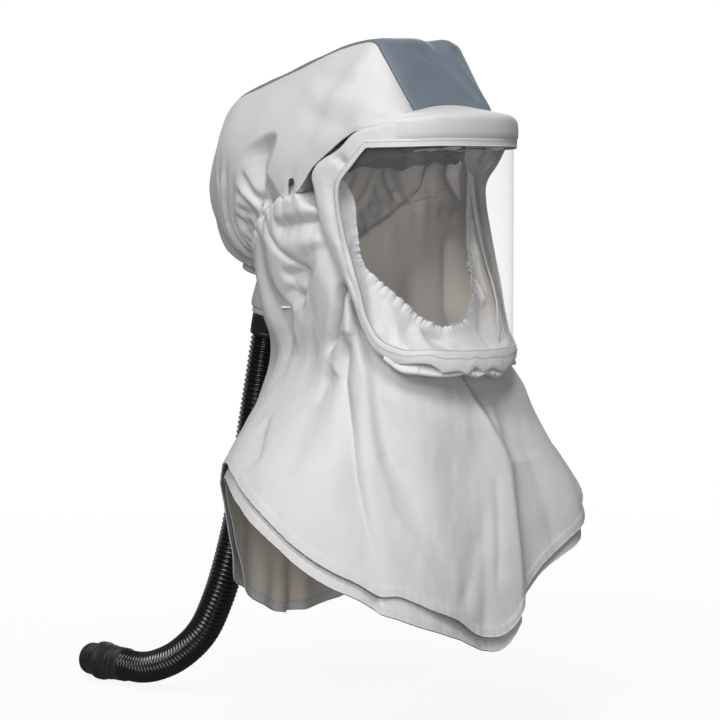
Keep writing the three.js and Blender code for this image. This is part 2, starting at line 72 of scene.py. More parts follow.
CROWN = np.array([  # along slate, low x, y, z, bulge, skew
    [-50, 0, -142, 39.4, 1.5, 1.0], [-26, -38, -138, 38.6, 1.5, 1.0], [-6, -63, -125, 36.6, 2, 1.0],
    [2, -75, -113, 34.6, 3, 1.0], [18, -84.5, -98, 32, 4, 1.0], [42, -89, -82, 27, 6, 1.1],
    [64, -92, -59, 12.5, 8, 1.2], [82, -96, -34, -4, 10, 1.3], [104, -97, -16, -24, 12, 1.3],
    [138, -96, 8, -31, 14, 1.3], [172, -93, 30, -36, 16, 1.2], [205, -88, 47, -48, 20, 1.1],
    [243, -80, 62, -63, 22, 1.0], [278, -71, 73, -76, 20, 1.0], [310, -62, 81, -85, 18, 1.0],
    [345, -54, 89, -92, 14, 1.0], [375, -46, 97, -97, 8, 1.0], [396, -41, 104, -98, 3, 1.0], [457, -36, 107, -99, 0, 1.0]], float)
CAPE = np.array([  # z, front, frontRight, right, backRight, back, backLeft, left, frontLeft
    [-20, 100, 104, 97, 112, 108, 112, 97, 104], [-60, 102, 104, 97, 113, 106, 113, 97, 106],
    [-100, 104, 105, 92, 111, 104, 110, 92, 108], [-140, 106, 108, 85, 104, 105, 101, 87, 113],
    [-175, 108, 110, 83, 92, 104, 96, 92, 116], [-205, 112, 116, 98, 103, 105, 110, 108, 130],
    [-235, 118, 125, 124, 119, 108, 126, 132, 145], [-265, 125, 136, 156, 133, 113, 142, 158, 162],
    [-300, 134, 150, 176, 139, 120, 152, 180, 181], [-350, 145, 167, 192, 141, 126, 154, 194, 192],
    [-400, 150, 178, 203, 142, 131, 152, 204, 196], [-440, 154, 186, 208, 142, 133, 152, 208, 198]], float)
EDGE = np.array([  # bearing, top, hem, how far the under layer hangs below it
    [-180, -109, -410, 9], [-165, -106, -403, 9], [-150, -92, -376, 8], [-142, -80, -344, 8], [-133, -69, -304, 10],
    [-122, -53, -275, 12], [-112, -42, -266, 13], [-100, -35, -271, 14], [-90, -41, -284, 14.5], [-82, -47, -298, 15],
    [-75, -66, -313, 15], [-68, -92, -329, 14], [-60, -119, -345, 13.5], [-52, -146, -357, 13], [-46, -160, -367, 14],
    [-41, -168, -367, 19], [-35, -176, -374, 19], [-28, -181, -384, 16], [-20, -184, -394, 15], [-15, -185, -404, 11.5],
    [-8, -186, -409.5, 13], [-2, -187, -408, 14], [2, -187, -402, 14], [6, -187, -391, 13], [10, -186, -377, 11], [16, -185, -363, 10],
    [22, -184, -350, 10], [30, -183, -338, 11], [38, -180, -325, 14], [46, -168, -312, 15], [52, -146, -302, 15], [60, -119, -292, 14],
    [68, -92, -288, 14], [75, -66, -280, 14], [82, -42, -274, 14], [90, -31, -270, 14], [98, -33, -268, 14],
    [110, -40, -275, 12], [122, -53, -310, 10], [133, -69, -360, 8], [142, -80, -392, 8], [150, -92, -403, 8],
    [165, -106, -410, 9], [180, -109, -410, 9]], float)
SEAL = np.array([  # face x, y, z, frame w, frame z, sag
    [83, -48, -10, 137, -14, 0], [72, -58, -34, 134, -36, 1], [70, -60, -60, 128, -60, 2], [66, -66, -92, 119, -90, 3],
    [57, -78, -107, 110, -120, 5], [46, -90, -121, 102, -144, 6], [32, -97, -135, 85, -157, 6],
    [18, -101, -143, 54, -161, 5], [0, -103, -146, 0, -163, 4]], float)
ROUTE = np.array([  # y, z of the hose's centre line, X = 0
    [128, -162], [149, -254], [166, -330], [182, -379], [199, -418], [221, -452], [256, -479], [290, -493.5],
    [312, -498], [333, -498.3]], float)
DUCT_DIR = np.array([0, 0.2225, -0.9749])
AXIS_Y = -20.0
FLOOR_Z = -518.5

# cape folds: line of (bearing, z), depth out, width on its left or lower side, width on its right or upper side,
# softness (1 rounded .. 0 creased), whether it runs on to the hem
CAPE_FOLDS = [
    ([(-112, -60), (-103, -57.5), (-92, -55.5), (-74, -53)], -8, 9, 4.6, 0.1, 1),
    ([(-108, -103), (-101, -98), (-91, -96)], -6, 9, 3.4, 0.15, 0),
    ([(-108, -110), (-104, -118), (-92, -122)], -5, 8, 3.6, 0.2, 0),
    ([(-65, -104), (-67, -118), (-68, -131), (-71, -153), (-78, -174)], -14, 4, 3, 0.25, 0),
    ([(-63, -112), (-62, -139), (-61, -165)], 6, 5, 4, 1, 0),
    ([(-60, -118), (-57, -135), (-53, -154)], -9, 3, 4.5, 0.35, 0),
    ([(-68, -183), (-75, -196), (-79, -214)], -2.5, 9, 7, 1, 0),
    ([(-59, -176), (-55, -207), (-52, -239), (-49, -271), (-46.5, -304), (-44, -336), (-42, -385)], 2, 9, 9, 1, 0),
    ([(-40, -318), (-31, -360), (-23, -386), (-15, -402)], -2, 11, 9, 1, 1),
    ([(17, -200), (14.5, -235), (11.6, -262), (9, -290), (7.8, -322), (6.5, -382), (6, -425)], 4.5, 17, 8, 0.5, 1),
    ([(-3, -290), (-7, -344), (-10, -420)], -1.2, 6, 6, 0.9, 1),
    ([(4, -270), (0, -328), (-4, -382)], -1.3, 4, 4, 0.8, 0),
    ([(-8, -318), (-14, -360), (-20, -392)], -1.8, 10, 8, 1, 0),
    ([(-107, -226), (-100, -242), (-93, -256), (-89, -266)], -5, 14, 6, 1, 0),
    ([(-67, -184), (-78, -209), (-78, -242), (-76, -278)], -4, 14, 12, 1, 0),
    ([(57, -150), (52, -240), (42, -350)], -6, 11, 11, 0.6, 1), ([(75, -120), (78, -190), (72, -300)], -6, 12, 12, 0.8, 1),
    ([(150, -130), (152, -250), (154, -430)], 6, 14, 14, 1, 1), ([(-150, -140), (-152, -250), (-156, -430)], 6, 12, 12, 1, 1),
    ([(168, -120), (172, -230), (170, -420)], -5, 12, 9, 0.7, 1), ([(118, -90), (116, -150), (108, -290)], -6, 12, 9, 0.7, 1),
    ([(-172, -120), (-168, -240), (-176, -420)], -4, 14, 10, 0.8, 1), ([(130, -110), (134, -200), (138, -400)], 5, 12, 12, 1, 1),
    ([(96, -60), (92, -110), (86, -170)], -5, 8, 6, 0.7, 0), ([(104, -48), (92, -52), (82, -50)], -5, 6, 5, 0.8, 0),
]


# cape flanks: rows (z, ridge bearing, valley bearing, depth), come-back distance, steepest at the ridge
CAPE_FACETS = [
    ([(-58, -121, -131, 0), (-66, -120, -131, 4), (-80, -117, -129, 6), (-97, -117, -128, 6), (-115, -113, -124, 7), (-128, -109, -121, 7), (-150, -106, -118, 5), (-178, -104, -116, 0)], 8, True),
    ([(-42, -106, -117, 0.5), (-55, -106, -117, 3), (-66, -105, -116, 3.6), (-78, -100, -110.5, 4.6), (-88, -93, -102, 4.8), (-95, -87, -95, 3), (-103, -83, -90, 0)], 2.5, False),
    ([(-70, -72, -80, 0), (-78, -75.5, -86, 4), (-86, -80, -92, 6), (-101, -84, -96, 8), (-116, -90, -102, 8), (-132, -99, -110, 7), (-155, -108, -118, 5), (-180, -114, -122, 0)], 14, True),
    ([(-170, -8, 2, 10), (-186, -3, 7, 13), (-203, 2, 11, 15), (-226, 6, 13, 13), (-243, 8.5, 14, 8), (-256, 10.0, 15, 4), (-266, 11, 16, 0)], 38, 0.6),
    ([(-205, 16, 30, 0), (-232, 12.5, 28, 6), (-256, 10, 27, 10), (-290, 8.5, 26, 11), (-330, 7.5, 26, 11), (-380, 6.5, 24, 9), (-425, 6, 22, 8)], 34, 0.8),
    ([(-150, -70, -62, 3), (-170, -71, -62.3, 8), (-191, -71, -62.5, 8), (-232, -65, -57, 7), (-272, -62, -54, 7), (-300, -59, -51, 5), (-320, -57, -49, 3), (-341, -55, -46, 1.5), (-370, -53, -43, 0)], 4.5, False),
    ([(-150, -58, -54, 4), (-170, -55.5, -50.5, 7), (-186, -52.5, -47.5, 7), (-207, -51, -46, 7), (-240, -48.7, -44, 7), (-256, -47, -42, 7), (-276, -44, -38, 5), (-301, -41, -34, 4.5), (-321, -36, -29, 4), (-338, -32.5, -26, 3.5), (-358, -29, -23, 2), (-385, -25, -19, 0)], 14, True),
]


# ------------------------------------------------------------------ small maths
def through(keys, rows, at):
    """Smooth curve through the rows of a table at the rising keys."""
    keys, rows, at = np.asarray(keys, float), np.asarray(rows, float), np.asarray(at, float)
    h = np.diff(keys)
    sl = (np.diff(rows, axis=0).T / h).T
    m = np.empty_like(rows)
    m[0], m[-1] = sl[0], sl[-1]
    hh = h.reshape((-1,) + (1,) * (rows.ndim - 1))
    m[1:-1] = (sl[:-1] * hh[1:] + sl[1:] * hh[:-1]) / (hh[1:] + hh[:-1])
    i = np.clip(np.searchsorted(keys, at, side="right") - 1, 0, len(keys) - 2)
    t = np.clip((at - keys[i]) / h[i], 0, 1)
    g = h[i]
    if rows.ndim > 1:
        t, g = t[..., None], g[..., None]
    return ((2 * t**3 - 3 * t**2 + 1) * rows[i] + (t**3 - 2 * t**2 + t) * g * m[i]
            + (3 * t**2 - 2 * t**3) * rows[i + 1] + (t**3 - t**2) * g * m[i + 1])


def ramp(a, b, v):
    t = np.clip((np.asarray(v, float) - a) / (b - a), 0, 1)
    return t * t * (3 - 2 * t)


def running(pts):
    return np.concatenate([[0], np.cumsum(np.linalg.norm(np.diff(np.asarray(pts, float), axis=0), axis=1))])


def unit(v):
    return v / (np.linalg.norm(v, axis=-1, keepdims=True) + 1e-12)


def noise(p, seed=0):
    """Smooth value noise in [-1, 1] at points p (..., 3)."""
    p = np.asarray(p, float)
    i = np.floor(p).astype(np.int64)
    f = p - i
    f = f * f * f * (f * (f * 6 - 15) + 10)

    def h(dx, dy, dz):
        n = (i[..., 0] + dx) * 374761393 + (i[..., 1] + dy) * 668265263 + (i[..., 2] + dz) * 2147483647 + seed * 1274126177
        n = n & 0xFFFFFFFF
        n = ((n ^ (n >> 13)) * 1274126177) & 0xFFFFFFFF
        n = (n ^ (n >> 16)) & 0xFFFFFFFF
        return n / 2147483647.5 - 1
    x, y, z = f[..., 0], f[..., 1], f[..., 2]
    a = h(0, 0, 0) * (1 - x) + h(1, 0, 0) * x
    b = h(0, 1, 0) * (1 - x) + h(1, 1, 0) * x
    c = h(0, 0, 1) * (1 - x) + h(1, 0, 1) * x
    d = h(0, 1, 1) * (1 - x) + h(1, 1, 1) * x
    return (a * (1 - y) + b * y) * (1 - z) + (c * (1 - y) + d * y) * z


def crease(d, width, soft):
    """Cross profile of a fold: a bell when soft is 1, a pinched crease when it is 0."""
    bell = np.exp(-((d / width) ** 2))
    p = 1 - (np.sqrt(d * d + 0.5) - 0.7) / (1.9 * width)
    pinch = 0.5 * (p + np.sqrt(p * p + 0.02))
    pinch = np.where(p < -1.2, 0, pinch)
    return bell * soft + pinch * (1 - soft)


def polyline_near(px, pz, pts):
    """Signed distance to a polyline (positive on its right going down) and the fraction along it, in a plane."""
    near = np.full(np.shape(px), 1e9)
    along = np.zeros(np.shape(px))
    side = np.ones(np.shape(px))
    n = len(pts) - 1
    for k in range(n):
        (ax, az), (bx, bz) = pts[k], pts[k + 1]
        ux, uz = bx - ax, bz - az
        qx, qz = px - ax, pz - az
        t = np.clip((qx * ux + qz * uz) / (ux * ux + uz * uz + 1e-9), 0, 1)
        d = np.hypot(qx - t * ux, qz - t * uz)
        hit = d < near
        near = np.where(hit, d, near)
        along = np.where(hit, (k + t) / n, along)
        side = np.where(hit, np.sign(ux * qz - uz * qx), side)
    return near * side, along


def fold(px, pz, pts, left, right, soft, on=0, ease=0.25):
    near, along = polyline_near(px, pz, pts)
    w = np.where(near > 0, right, left)
    end = 1.0 if on else 1 - ramp(0.72, 1, along)
    return crease(near, w, soft) * ramp(0, ease, along) * end


def facet(u, v, scale, rows, back, steep_ridge):
    """A turned-in flank between a ridge line and a valley line: rows (v, ridge u, valley u, depth) with falling v;
    past the valley the cloth comes back over a distance of back mm. steep_ridge 1 makes the flank steepest at its ridge, less straighter, 0 steepest at its valley."""
    rows = np.asarray(rows, float)
    key = -rows[:, 0]
    at = np.clip(-v, key[0], key[-1])
    ru, vu, dep = (np.interp(at, key, rows[:, k]) for k in (1, 2, 3))
    dep = np.where((-v < key[0]) | (-v > key[-1]), 0, dep)
    q = (u - ru) / (vu - ru)
    q = 0.5 * (q + np.sqrt(q * q + 0.0025)) - 0.025 * np.exp(-np.abs(q) * 6)
    w = 1 - np.clip(q, 0, 1)
    flank = (1 - w ** 2) * steep_ridge + np.clip(q, 0, 1) * (1 - steep_ridge) if steep_ridge > 0 else np.clip(q, 0, 1) ** 2
    beyond = np.maximum(0, (u - vu) * np.sign(vu - ru)) * scale
    return -dep * np.where(q <= 1, flank, np.exp(-((beyond / back) ** 1.5)))


# ------------------------------------------------------------------ visor plan
def _plan():
    a = np.linspace(0, math.pi / 2, 481)
    e = 2 / VISOR["power"]
    x = VISOR["half"] * np.sin(a) ** e
    y = VISOR["back"] - VISOR["depth"] * np.maximum(0, np.cos(a)) ** e
    x = np.append(x, VISOR["half"] + VISOR["flare"] * VISOR["tail"])
    y = np.append(y, VISOR["back"] + VISOR["tail"])
    return running(np.stack([x, y], -1)), x, y


PS, PX, PY = _plan()


def plan_at(w):
    a = np.abs(w)
    return np.where(w < 0, -1, 1) * np.interp(a, PS, PX), np.interp(a, PS, PY)


def on_plan(w, z, off):
    w = np.asarray(w, float)
    x, y = plan_at(w)
    x1, y1 = plan_at(w + 1.0)
    x0, y0 = plan_at(w - 1.0)
    l = np.hypot(x1 - x0, y1 - y0)
    w, z, off = np.broadcast_arrays(w, z, off)
    return np.stack([x + (y1 - y0) / l * off, y - (x1 - x0) / l * off, z + 0 * x], -1)


# ------------------------------------------------------------------ mesh building
def normals_of(P, closed):
    if closed:
        du = np.roll(P, -1, 0) - np.roll(P, 1, 0)
    else:
        du = np.gradient(P, axis=0)
    dv = np.gradient(P, axis=1)
    return unit(np.cross(du, dv))


def link(name, verts, faces, uvs=None, smooth=True):
    me = bpy.data.meshes.new(name)
    verts = np.asarray(verts, float) * MM
    me.vertices.add(len(verts))
    me.vertices.foreach_set("co", verts.astype(np.float32).ravel())
    sizes = np.array([len(f) for f in faces]) if not isinstance(faces, np.ndarray) else np.full(len(faces), faces.shape[1])
    flat = np.concatenate([np.asarray(f) for f in faces]) if not isinstance(faces, np.ndarray) else faces.ravel()
    me.loops.add(len(flat))
    me.loops.foreach_set("vertex_index", flat.astype(np.int32))
    me.polygons.add(len(sizes))
    starts = np.concatenate([[0], np.cumsum(sizes)[:-1]])
    me.polygons.foreach_set("loop_start", starts.astype(np.int32))
    me.polygons.foreach_set("loop_total", sizes.astype(np.int32))
    me.update(calc_edges=True)
    if uvs is not None:
        layer = me.uv_layers.new(name="cloth")
        layer.data.foreach_set("uv", np.asarray(uvs, np.float32).ravel())
    me.validate()
    me.polygons.foreach_set("use_smooth", np.full(len(me.polygons), smooth))
    o = bpy.data.objects.new(name, me)
    scene.collection.objects.link(o)
    return o


def arc_uv(P, closed):
    """Distances along both ways of a grid, in millimetres."""
    n, m = P.shape[:2]
    Q = np.concatenate([P, P[:1]], 0) if closed else P
    du = np.linalg.norm(np.diff(Q, axis=0), axis=-1).mean(1)
    U = np.concatenate([[0], np.cumsum(du)])
    dv = np.linalg.norm(np.diff(P, axis=1), axis=-1)
    Vv = np.concatenate([np.zeros((n, 1)), np.cumsum(dv, 1)], 1)
    if closed:
        Vv = np.concatenate([Vv, Vv[:1]], 0)
    return U, Vv


def shell(name, P, thick, closed=False, shift=0.0, hub=None, inside=None, turned=0.0):
    """Closed cloth wall of a thickness about the grid P, with rounded edges; inside is the cloth's other face, seen from hub,
    down to a hem of the turned width at the last edge."""
    n, m = P.shape[:2]
    N = normals_of(P, closed)
    A = P + N * (thick * (0.5 + shift))
    B = P - N * (thick * (0.5 - shift))
    mid = (A + B) / 2
    ev0 = unit(P[:, 0] - P[:, 1]) * thick * 0.5
    ev1 = unit(P[:, -1] - P[:, -2]) * thick * 0.5
    verts = [A.reshape(-1, 3), B.reshape(-1, 3), mid[:, 0] + ev0, mid[:, -1] + ev1]
    nm = n * m
    base2, base3 = 2 * nm, 2 * nm + n
    last = n if closed else n - 1
    i = np.arange(last)
    ii = (i + 1) % n
    U, Vv = arc_uv(P, closed)
    j = np.arange(m - 1)
    I, J = np.meshgrid(i, j, indexing="ij")
    II = (I + 1) % n
    a = [I * m + J, II * m + J, II * m + J + 1, I * m + J + 1]
    uvq = [(U[I], Vv[I, J]), (U[I + 1], Vv[I + 1, J]), (U[I + 1], Vv[I + 1, J + 1]), (U[I], Vv[I, J + 1])]
    faces, uvs = [], []

    def put(q, uv):
        faces.append(np.stack([x.ravel() for x in q], -1))
        uvs.append(np.stack([np.stack([np.broadcast_to(x, q[0].shape).ravel(), np.broadcast_to(y, q[0].shape).ravel()], -1) for x, y in uv], 1))
    put(a, uvq)
    b = [x + nm for x in a]
    put(b[::-1], uvq[::-1])
    for col, basee, first in ((0, base2, True), (m - 1, base3, False)):
        o0, o1 = i * m + col, ii * m + col
        r0, r1 = basee + i, basee + ii
        v0, v1 = Vv[i, col], Vv[i + 1, col]
        u0, u1 = U[i], U[i + 1]
        s = 1 if not first else -1
        q1 = [o0, o1, r1, r0]
        q2 = [r0, r1, o1 + nm, o0 + nm]
        t1 = [(u0, v0), (u1, v1), (u1, v1 + s), (u0, v0 + s)]
        t2 = [(u0, v0 + s), (u1, v1 + s), (u1, v1 + 2 * s), (u0, v0 + 2 * s)]
        if first:
            q1, q2, t1, t2 = q1[::-1], q2[::-1], t1[::-1], t2[::-1]
        q1, q2, t1, t2 = q1[::-1], q2[::-1], t1[::-1], t2[::-1]
        put(q1, t1)
        put(q2, t2)
    if not closed:
        extra = []
        for row, k in ((0, 0), (n - 1, 1)):
            e = unit(P[row] - P[1 if row == 0 else n - 2]) * thick * 0.5
            e[0] = 0
            e[-1] = 0
            ring = mid[row] + e
            ring[0] = (mid[:, 0] + ev0)[row]
            ring[-1] = (mid[:, -1] + ev1)[row]
            start = 2 * nm + 2 * n + k * m
            ids = start + np.arange(m)
            ids[0] = base2 + row
            ids[-1] = base3 + row
            extra.append(ring)
            o0, o1 = row * m + j, row * m + j + 1
            r0, r1 = ids[:-1], ids[1:]
            q1 = [o0, o1, r1, r0]
            q2 = [r0, r1, o1 + nm, o0 + nm]
            uv = [(U[row] + 0 * j, Vv[row, j]), (U[row] + 0 * j, Vv[row, j + 1]), (U[row] + 1.0 + 0 * j, Vv[row, j + 1]), (U[row] + 1.0 + 0 * j, Vv[row, j])]
            if row != 0:
                q1, q2, uv = q1[::-1], q2[::-1], uv[::-1]
            put(q1, uv)
            put(q2, uv)
        verts += extra
    V3 = np.concatenate(verts)
    F = np.concatenate(faces)
    T = np.concatenate(uvs)
    tri = V3[F]
    vol = np.einsum("ij,ij->i", tri[:, 0], np.cross(tri[:, 1], tri[:, 2])).sum() + np.einsum("ij,ij->i", tri[:, 0], np.cross(tri[:, 2], tri[:, 3])).sum()
    if vol < 0:
        F, T = F[:, ::-1], T[:, ::-1]
    used = np.zeros(len(V3), bool)
    used[F.ravel()] = True
    remap = np.cumsum(used) - 1
    o = link(name, V3[used], remap[F], T)
    if inside is not None:
        out = np.einsum("ijk,ijk->ij", N[..., :2], P[..., :2] - np.asarray(hub[:2], float))
        if len(hub) == 3:
            out = np.einsum("ijk,ijk->ij", N, P - np.asarray(hub, float))
        side = np.zeros(len(F), np.int32)
        q = len(faces[0])
        if out.mean() > 0:
            side[q:2 * q] = 1
        else:
            side[:q] = 1
        if turned:
            band = (np.abs(Vv[I, -1] - (Vv[I, J] + Vv[I, J + 1]) / 2) < turned).ravel()
            side[:2 * q] *= ~np.concatenate([band, band])
        o.data.materials.append(inside)
        o.data.materials.append(inside)
        o.data.polygons.foreach_set("material_index", side)
        o["two_faced"] = 1
    return o


def lathe(name, profile, origin, direction, sides=96, closed_profile=True):
    """Turned solid: profile rows (radius, distance back along the axis)."""
    d = unit(np.asarray(direction, float))
    x = np.array([1.0, 0, 0])
    y = np.cross(d, x)
    pr = np.asarray(profile, float)
    a = np.arange(sides) / sides * 2 * math.pi
    ring = np.cos(a)[:, None] * x + np.sin(a)[:, None] * y
    P = np.asarray(origin, float) + ring[:, None, :] * pr[None, :, :1] - d * pr[None, :, 1:2]
    n, m = sides, len(pr)
    I, J = np.meshgrid(np.arange(n), np.arange(m if closed_profile else m - 1), indexing="ij")
    II, JJ = (I + 1) % n, (J + 1) % m
    F = np.stack([(I * m + J).ravel(), (II * m + J).ravel(), (II * m + JJ).ravel(), (I * m + JJ).ravel()], -1)
    run = running(pr)
    R = float(np.max(pr[:, 0]))
    run2 = np.append(run, run[-1] + 1)
    uv = np.stack([np.stack([(I / n * 2 * math.pi * R).ravel(), run2[J].ravel()], -1), np.stack([((I + 1) / n * 2 * math.pi * R).ravel(), run2[J].ravel()], -1),
                   np.stack([((I + 1) / n * 2 * math.pi * R).ravel(), run2[J + 1].ravel()], -1), np.stack([(I / n * 2 * math.pi * R).ravel(), run2[J + 1].ravel()], -1)], 1)
    V3 = P.reshape(-1, 3)
    tri = V3[F]
    vol = np.einsum("ij,ij->i", tri[:, 0], np.cross(tri[:, 1], tri[:, 2])).sum() + np.einsum("ij,ij->i", tri[:, 0], np.cross(tri[:, 2], tri[:, 3])).sum()
    if vol < 0:
        F, uv = F[:, ::-1], uv[:, ::-1]
    return link(name, V3, F, uv)


def stitches(name, path, norm, pitch=3.4, length=2.3, radius=0.36, lift=0.1):
    """A row of short raised stitches along a path on a surface."""
    run = running(path)
    count = max(2, int(run[-1] / pitch))
    at = (np.arange(count) + 0.5) * run[-1] / count
    c = np.stack([np.interp(at, run, path[:, k]) for k in range(3)], -1)
    nn = unit(np.stack([np.interp(at, run, norm[:, k]) for k in range(3)], -1))
    c1 = np.stack([np.interp(at + 0.5, run, path[:, k]) for k in range(3)], -1)
    c0 = np.stack([np.interp(at - 0.5, run, path[:, k]) for k in range(3)], -1)
    t = unit(c1 - c0)
    s = unit(np.cross(nn, t))
    rings = [(-0.5, 0.25), (-0.36, 0.8), (0.0, 1.0), (0.36, 0.8), (0.5, 0.25)]
    ang = np.arange(6) / 6 * 2 * math.pi
    local = []
    for x, r in rings:
        for a in ang:
            local.append((x * length, math.cos(a) * r * radius, math.sin(a) * r * radius * 0.8 - abs(x) * 0.5 + lift))
    local = np.array(local)
    V3 = (c[:, None, :] + t[:, None, :] * local[None, :, :1] + s[:, None, :] * local[None, :, 1:2] + nn[:, None, :] * local[None, :, 2:3]).reshape(-1, 3)
    q = []
    for k in range(4):
        for a in range(6):
            b = (a + 1) % 6
            q.append((k * 6 + a, k * 6 + b, (k + 1) * 6 + b, (k + 1) * 6 + a))
    q = np.array(q)
    caps = np.array([(5, 4, 3, 2), (5, 2, 1, 0), (24, 25, 26, 27), (24, 27, 28, 29)])
    q = np.concatenate([q, caps])
    F = (np.arange(count)[:, None, None] * 30 + q[None]).reshape(-1, 4)
    return link(name, V3, F)


# ------------------------------------------------------------------ materials
def nodes_of(name):
    m = bpy.data.materials.new(name)
    m.use_nodes = True
    nt = m.node_tree
    nt.nodes.clear()
    out = nt.nodes.new("ShaderNodeOutputMaterial")
    bsdf = nt.nodes.new("ShaderNodeBsdfPrincipled")
    nt.links.new(bsdf.outputs[0], out.inputs[0])
    return m, nt, bsdf


def math_node(nt, op, a, b=None, clamp=False):
    n = nt.nodes.new("ShaderNodeMath")
    n.operation = op
    n.use_clamp = clamp
    for k, v in enumerate((a, b)):
        if v is None:
            continue
        if isinstance(v, (int, float)):
            n.inputs[k].default_value = v
        else:
            nt.links.new(v, n.inputs[k])
    return n.outputs[0]


def ramp_node(nt, fac, stops):
    n = nt.nodes.new("ShaderNodeValToRGB")
    nt.links.new(fac, n.inputs[0])
    el = n.color_ramp.elements
    while len(el) < len(stops):
        el.new(0.5)
    for e, (pos, col) in zip(el, stops):
        e.position = pos
        e.color = (*col, 1)
    return n.outputs[0]


def noise_node(nt, coord, scale, detail=3, rough=0.5):
    n = nt.nodes.new("ShaderNodeTexNoise")
    n.inputs["Scale"].default_value = scale
    n.inputs["Detail"].default_value = detail
    n.inputs["Roughness"].default_value = rough
    nt.links.new(coord, n.inputs["Vector"])
    return n.outputs["Fac"]


def wave_node(nt, coord, scale, direction):
    n = nt.nodes.new("ShaderNodeTexWave")
    n.bands_direction = direction
    n.wave_profile = "SIN"
    n.inputs["Scale"].default_value = scale
    n.inputs["Distortion"].default_value = 0.0
    nt.links.new(coord, n.inputs["Vector"])
    return n.outputs["Fac"]


def fabric(name, dark, light, rough=0.55, sheen=0.12, weave=0.85, bump=0.35, spec=0.35, crumple=0.25):
    """Coated cloth: fine weave from the cut's own coordinates, mottled colour, small creases."""
    m, nt, b = nodes_of(name)
    tc = nt.nodes.new("ShaderNodeTexCoord")
    uv, ob = tc.outputs["UV"], tc.outputs["Object"]
    k = 2 * math.pi / weave / 20
    wx, wy = wave_node(nt, uv, k, "X"), wave_node(nt, uv, k, "Y")
    w = math_node(nt, "MULTIPLY", wx, wy)
    cloud = noise_node(nt, ob, 26, 4, 0.55)
    fine = noise_node(nt, ob, 900, 2, 0.6)
    mix = math_node(nt, "ADD", math_node(nt, "MULTIPLY", cloud, 0.62), math_node(nt, "MULTIPLY", fine, 0.26))
    mix = math_node(nt, "ADD", mix, math_node(nt, "MULTIPLY", w, 0.12))
    col = ramp_node(nt, mix, [(0.30, dark), (0.70, light)])
    nt.links.new(col, b.inputs["Base Color"])
    r = math_node(nt, "ADD", math_node(nt, "MULTIPLY", cloud, 0.14), rough - 0.07)
    nt.links.new(r, b.inputs["Roughness"])
    b.inputs["Specular IOR Level"].default_value = spec
    b.inputs["Sheen Weight"].default_value = sheen
    b.inputs["Sheen Roughness"].default_value = 0.45
    crum = noise_node(nt, ob, 95, 3, 0.55)
    h = math_node(nt, "ADD", math_node(nt, "MULTIPLY", w, 0.16), math_node(nt, "MULTIPLY", fine, 0.22))
    h = math_node(nt, "ADD", h, math_node(nt, "MULTIPLY", crum, crumple * 4))
    bp = nt.nodes.new("ShaderNodeBump")
    bp.inputs["Strength"].default_value = bump
    bp.inputs["Distance"].default_value = 0.0006
    nt.links.new(h, bp.inputs["Height"])
    nt.links.new(bp.outputs[0], b.inputs["Normal"])
    return m


def plastic(name, dark, light, rough=0.4, spec=0.5, scale=60, bump=0.15):
    m, nt, b = nodes_of(name)
    tc = nt.nodes.new("ShaderNodeTexCoord")
    ob = tc.outputs["Object"]
    cloud = noise_node(nt, ob, scale, 4, 0.6)
    grain = noise_node(nt, ob, 1600, 2, 0.5)
    col = ramp_node(nt, cloud, [(0.3, dark), (0.7, light)])
    nt.links.new(col, b.inputs["Base Color"])
    r = math_node(nt, "ADD", math_node(nt, "MULTIPLY", cloud, 0.16), rough - 0.08)
    nt.links.new(r, b.inputs["Roughness"])
    b.inputs["Specular IOR Level"].default_value = spec
    bp = nt.nodes.new("ShaderNodeBump")
    bp.inputs["Strength"].default_value = bump
    bp.inputs["Distance"].default_value = 0.0002
    nt.links.new(grain, bp.inputs["Height"])
    nt.links.new(bp.outputs[0], b.inputs["Normal"])
    return m


def grey(v, warm=0.0):
    return (v * (1 + warm), v, v * (1 - warm))


M_LIGHT = fabric("coated_light", grey(0.585), grey(0.635), bump=0.3)
# light grey frame and chin roll cloth, paler than the crown and cape cloth: partly its own tone, partly painted light
# on the shaded chin band
M_FRAME_PAINTED_LIGHT = fabric("coated_frame_painted_light", grey(0.64, 0.006), grey(0.69, 0.006), bump=0.25)
M_SLATE = fabric("coated_slate", (0.129, 0.159, 0.192), (0.166, 0.199, 0.237), rough=0.5, spec=0.4, bump=0.4)
M_SEAL = fabric("thin_seal", grey(0.63), grey(0.69), rough=0.65, sheen=0.2, bump=0.4, crumple=0.35)
M_CAPE = fabric("coated_cape", grey(0.58), grey(0.63), bump=0.3)
# inner face of the cloth: its own grey, made paler and warmer as painted light shining through the cloth
M_INNER_PAINTED_LIGHT = fabric("cloth_back_painted_light", (0.66, 0.605, 0.54), (0.73, 0.675, 0.605), rough=0.7, bump=0.4)
# inner face of the frame cloth, paler and warmer than its outer face: painted light falling in through the visor
M_VISOR_BACK_PAINTED_LIGHT = fabric("frame_back_painted_light", grey(0.68, 0.04), grey(0.74, 0.04), rough=0.65, bump=0.3)
M_BAND = fabric("band_dark", grey(0.045), grey(0.07), rough=0.8, sheen=0.3, weave=1.1, bump=0.6)
M_THREAD = fabric("thread_grey", grey(0.40), grey(0.48), rough=0.7, weave=0.4)
# darker copy of the grey thread for the under layer's hem stitches: painted shade under the outer hem
M_THREAD_PAINTED_SHADE = fabric("thread_painted_shade", grey(0.34), grey(0.42), rough=0.7, weave=0.4)
M_TAG = fabric("tag_white", grey(0.80), grey(0.86), rough=0.7)
M_SPOUT = plastic("spout_grey", grey(0.52, 0.02), grey(0.58, 0.02), rough=0.42)
M_HOSE = plastic("hose_black", (0.004, 0.0035, 0.006), (0.008, 0.007, 0.011), rough=0.2, spec=0.5)
M_CUFF = plastic("cuff_black", (0.008, 0.007, 0.010), (0.013, 0.012, 0.016), rough=0.42)
M_CONN = plastic("connector_black", (0.012, 0.012, 0.014), (0.02, 0.02, 0.023), rough=0.45, bump=0.3)
M_TAB = plastic("tab_pale", grey(0.62), grey(0.70), rough=0.25)


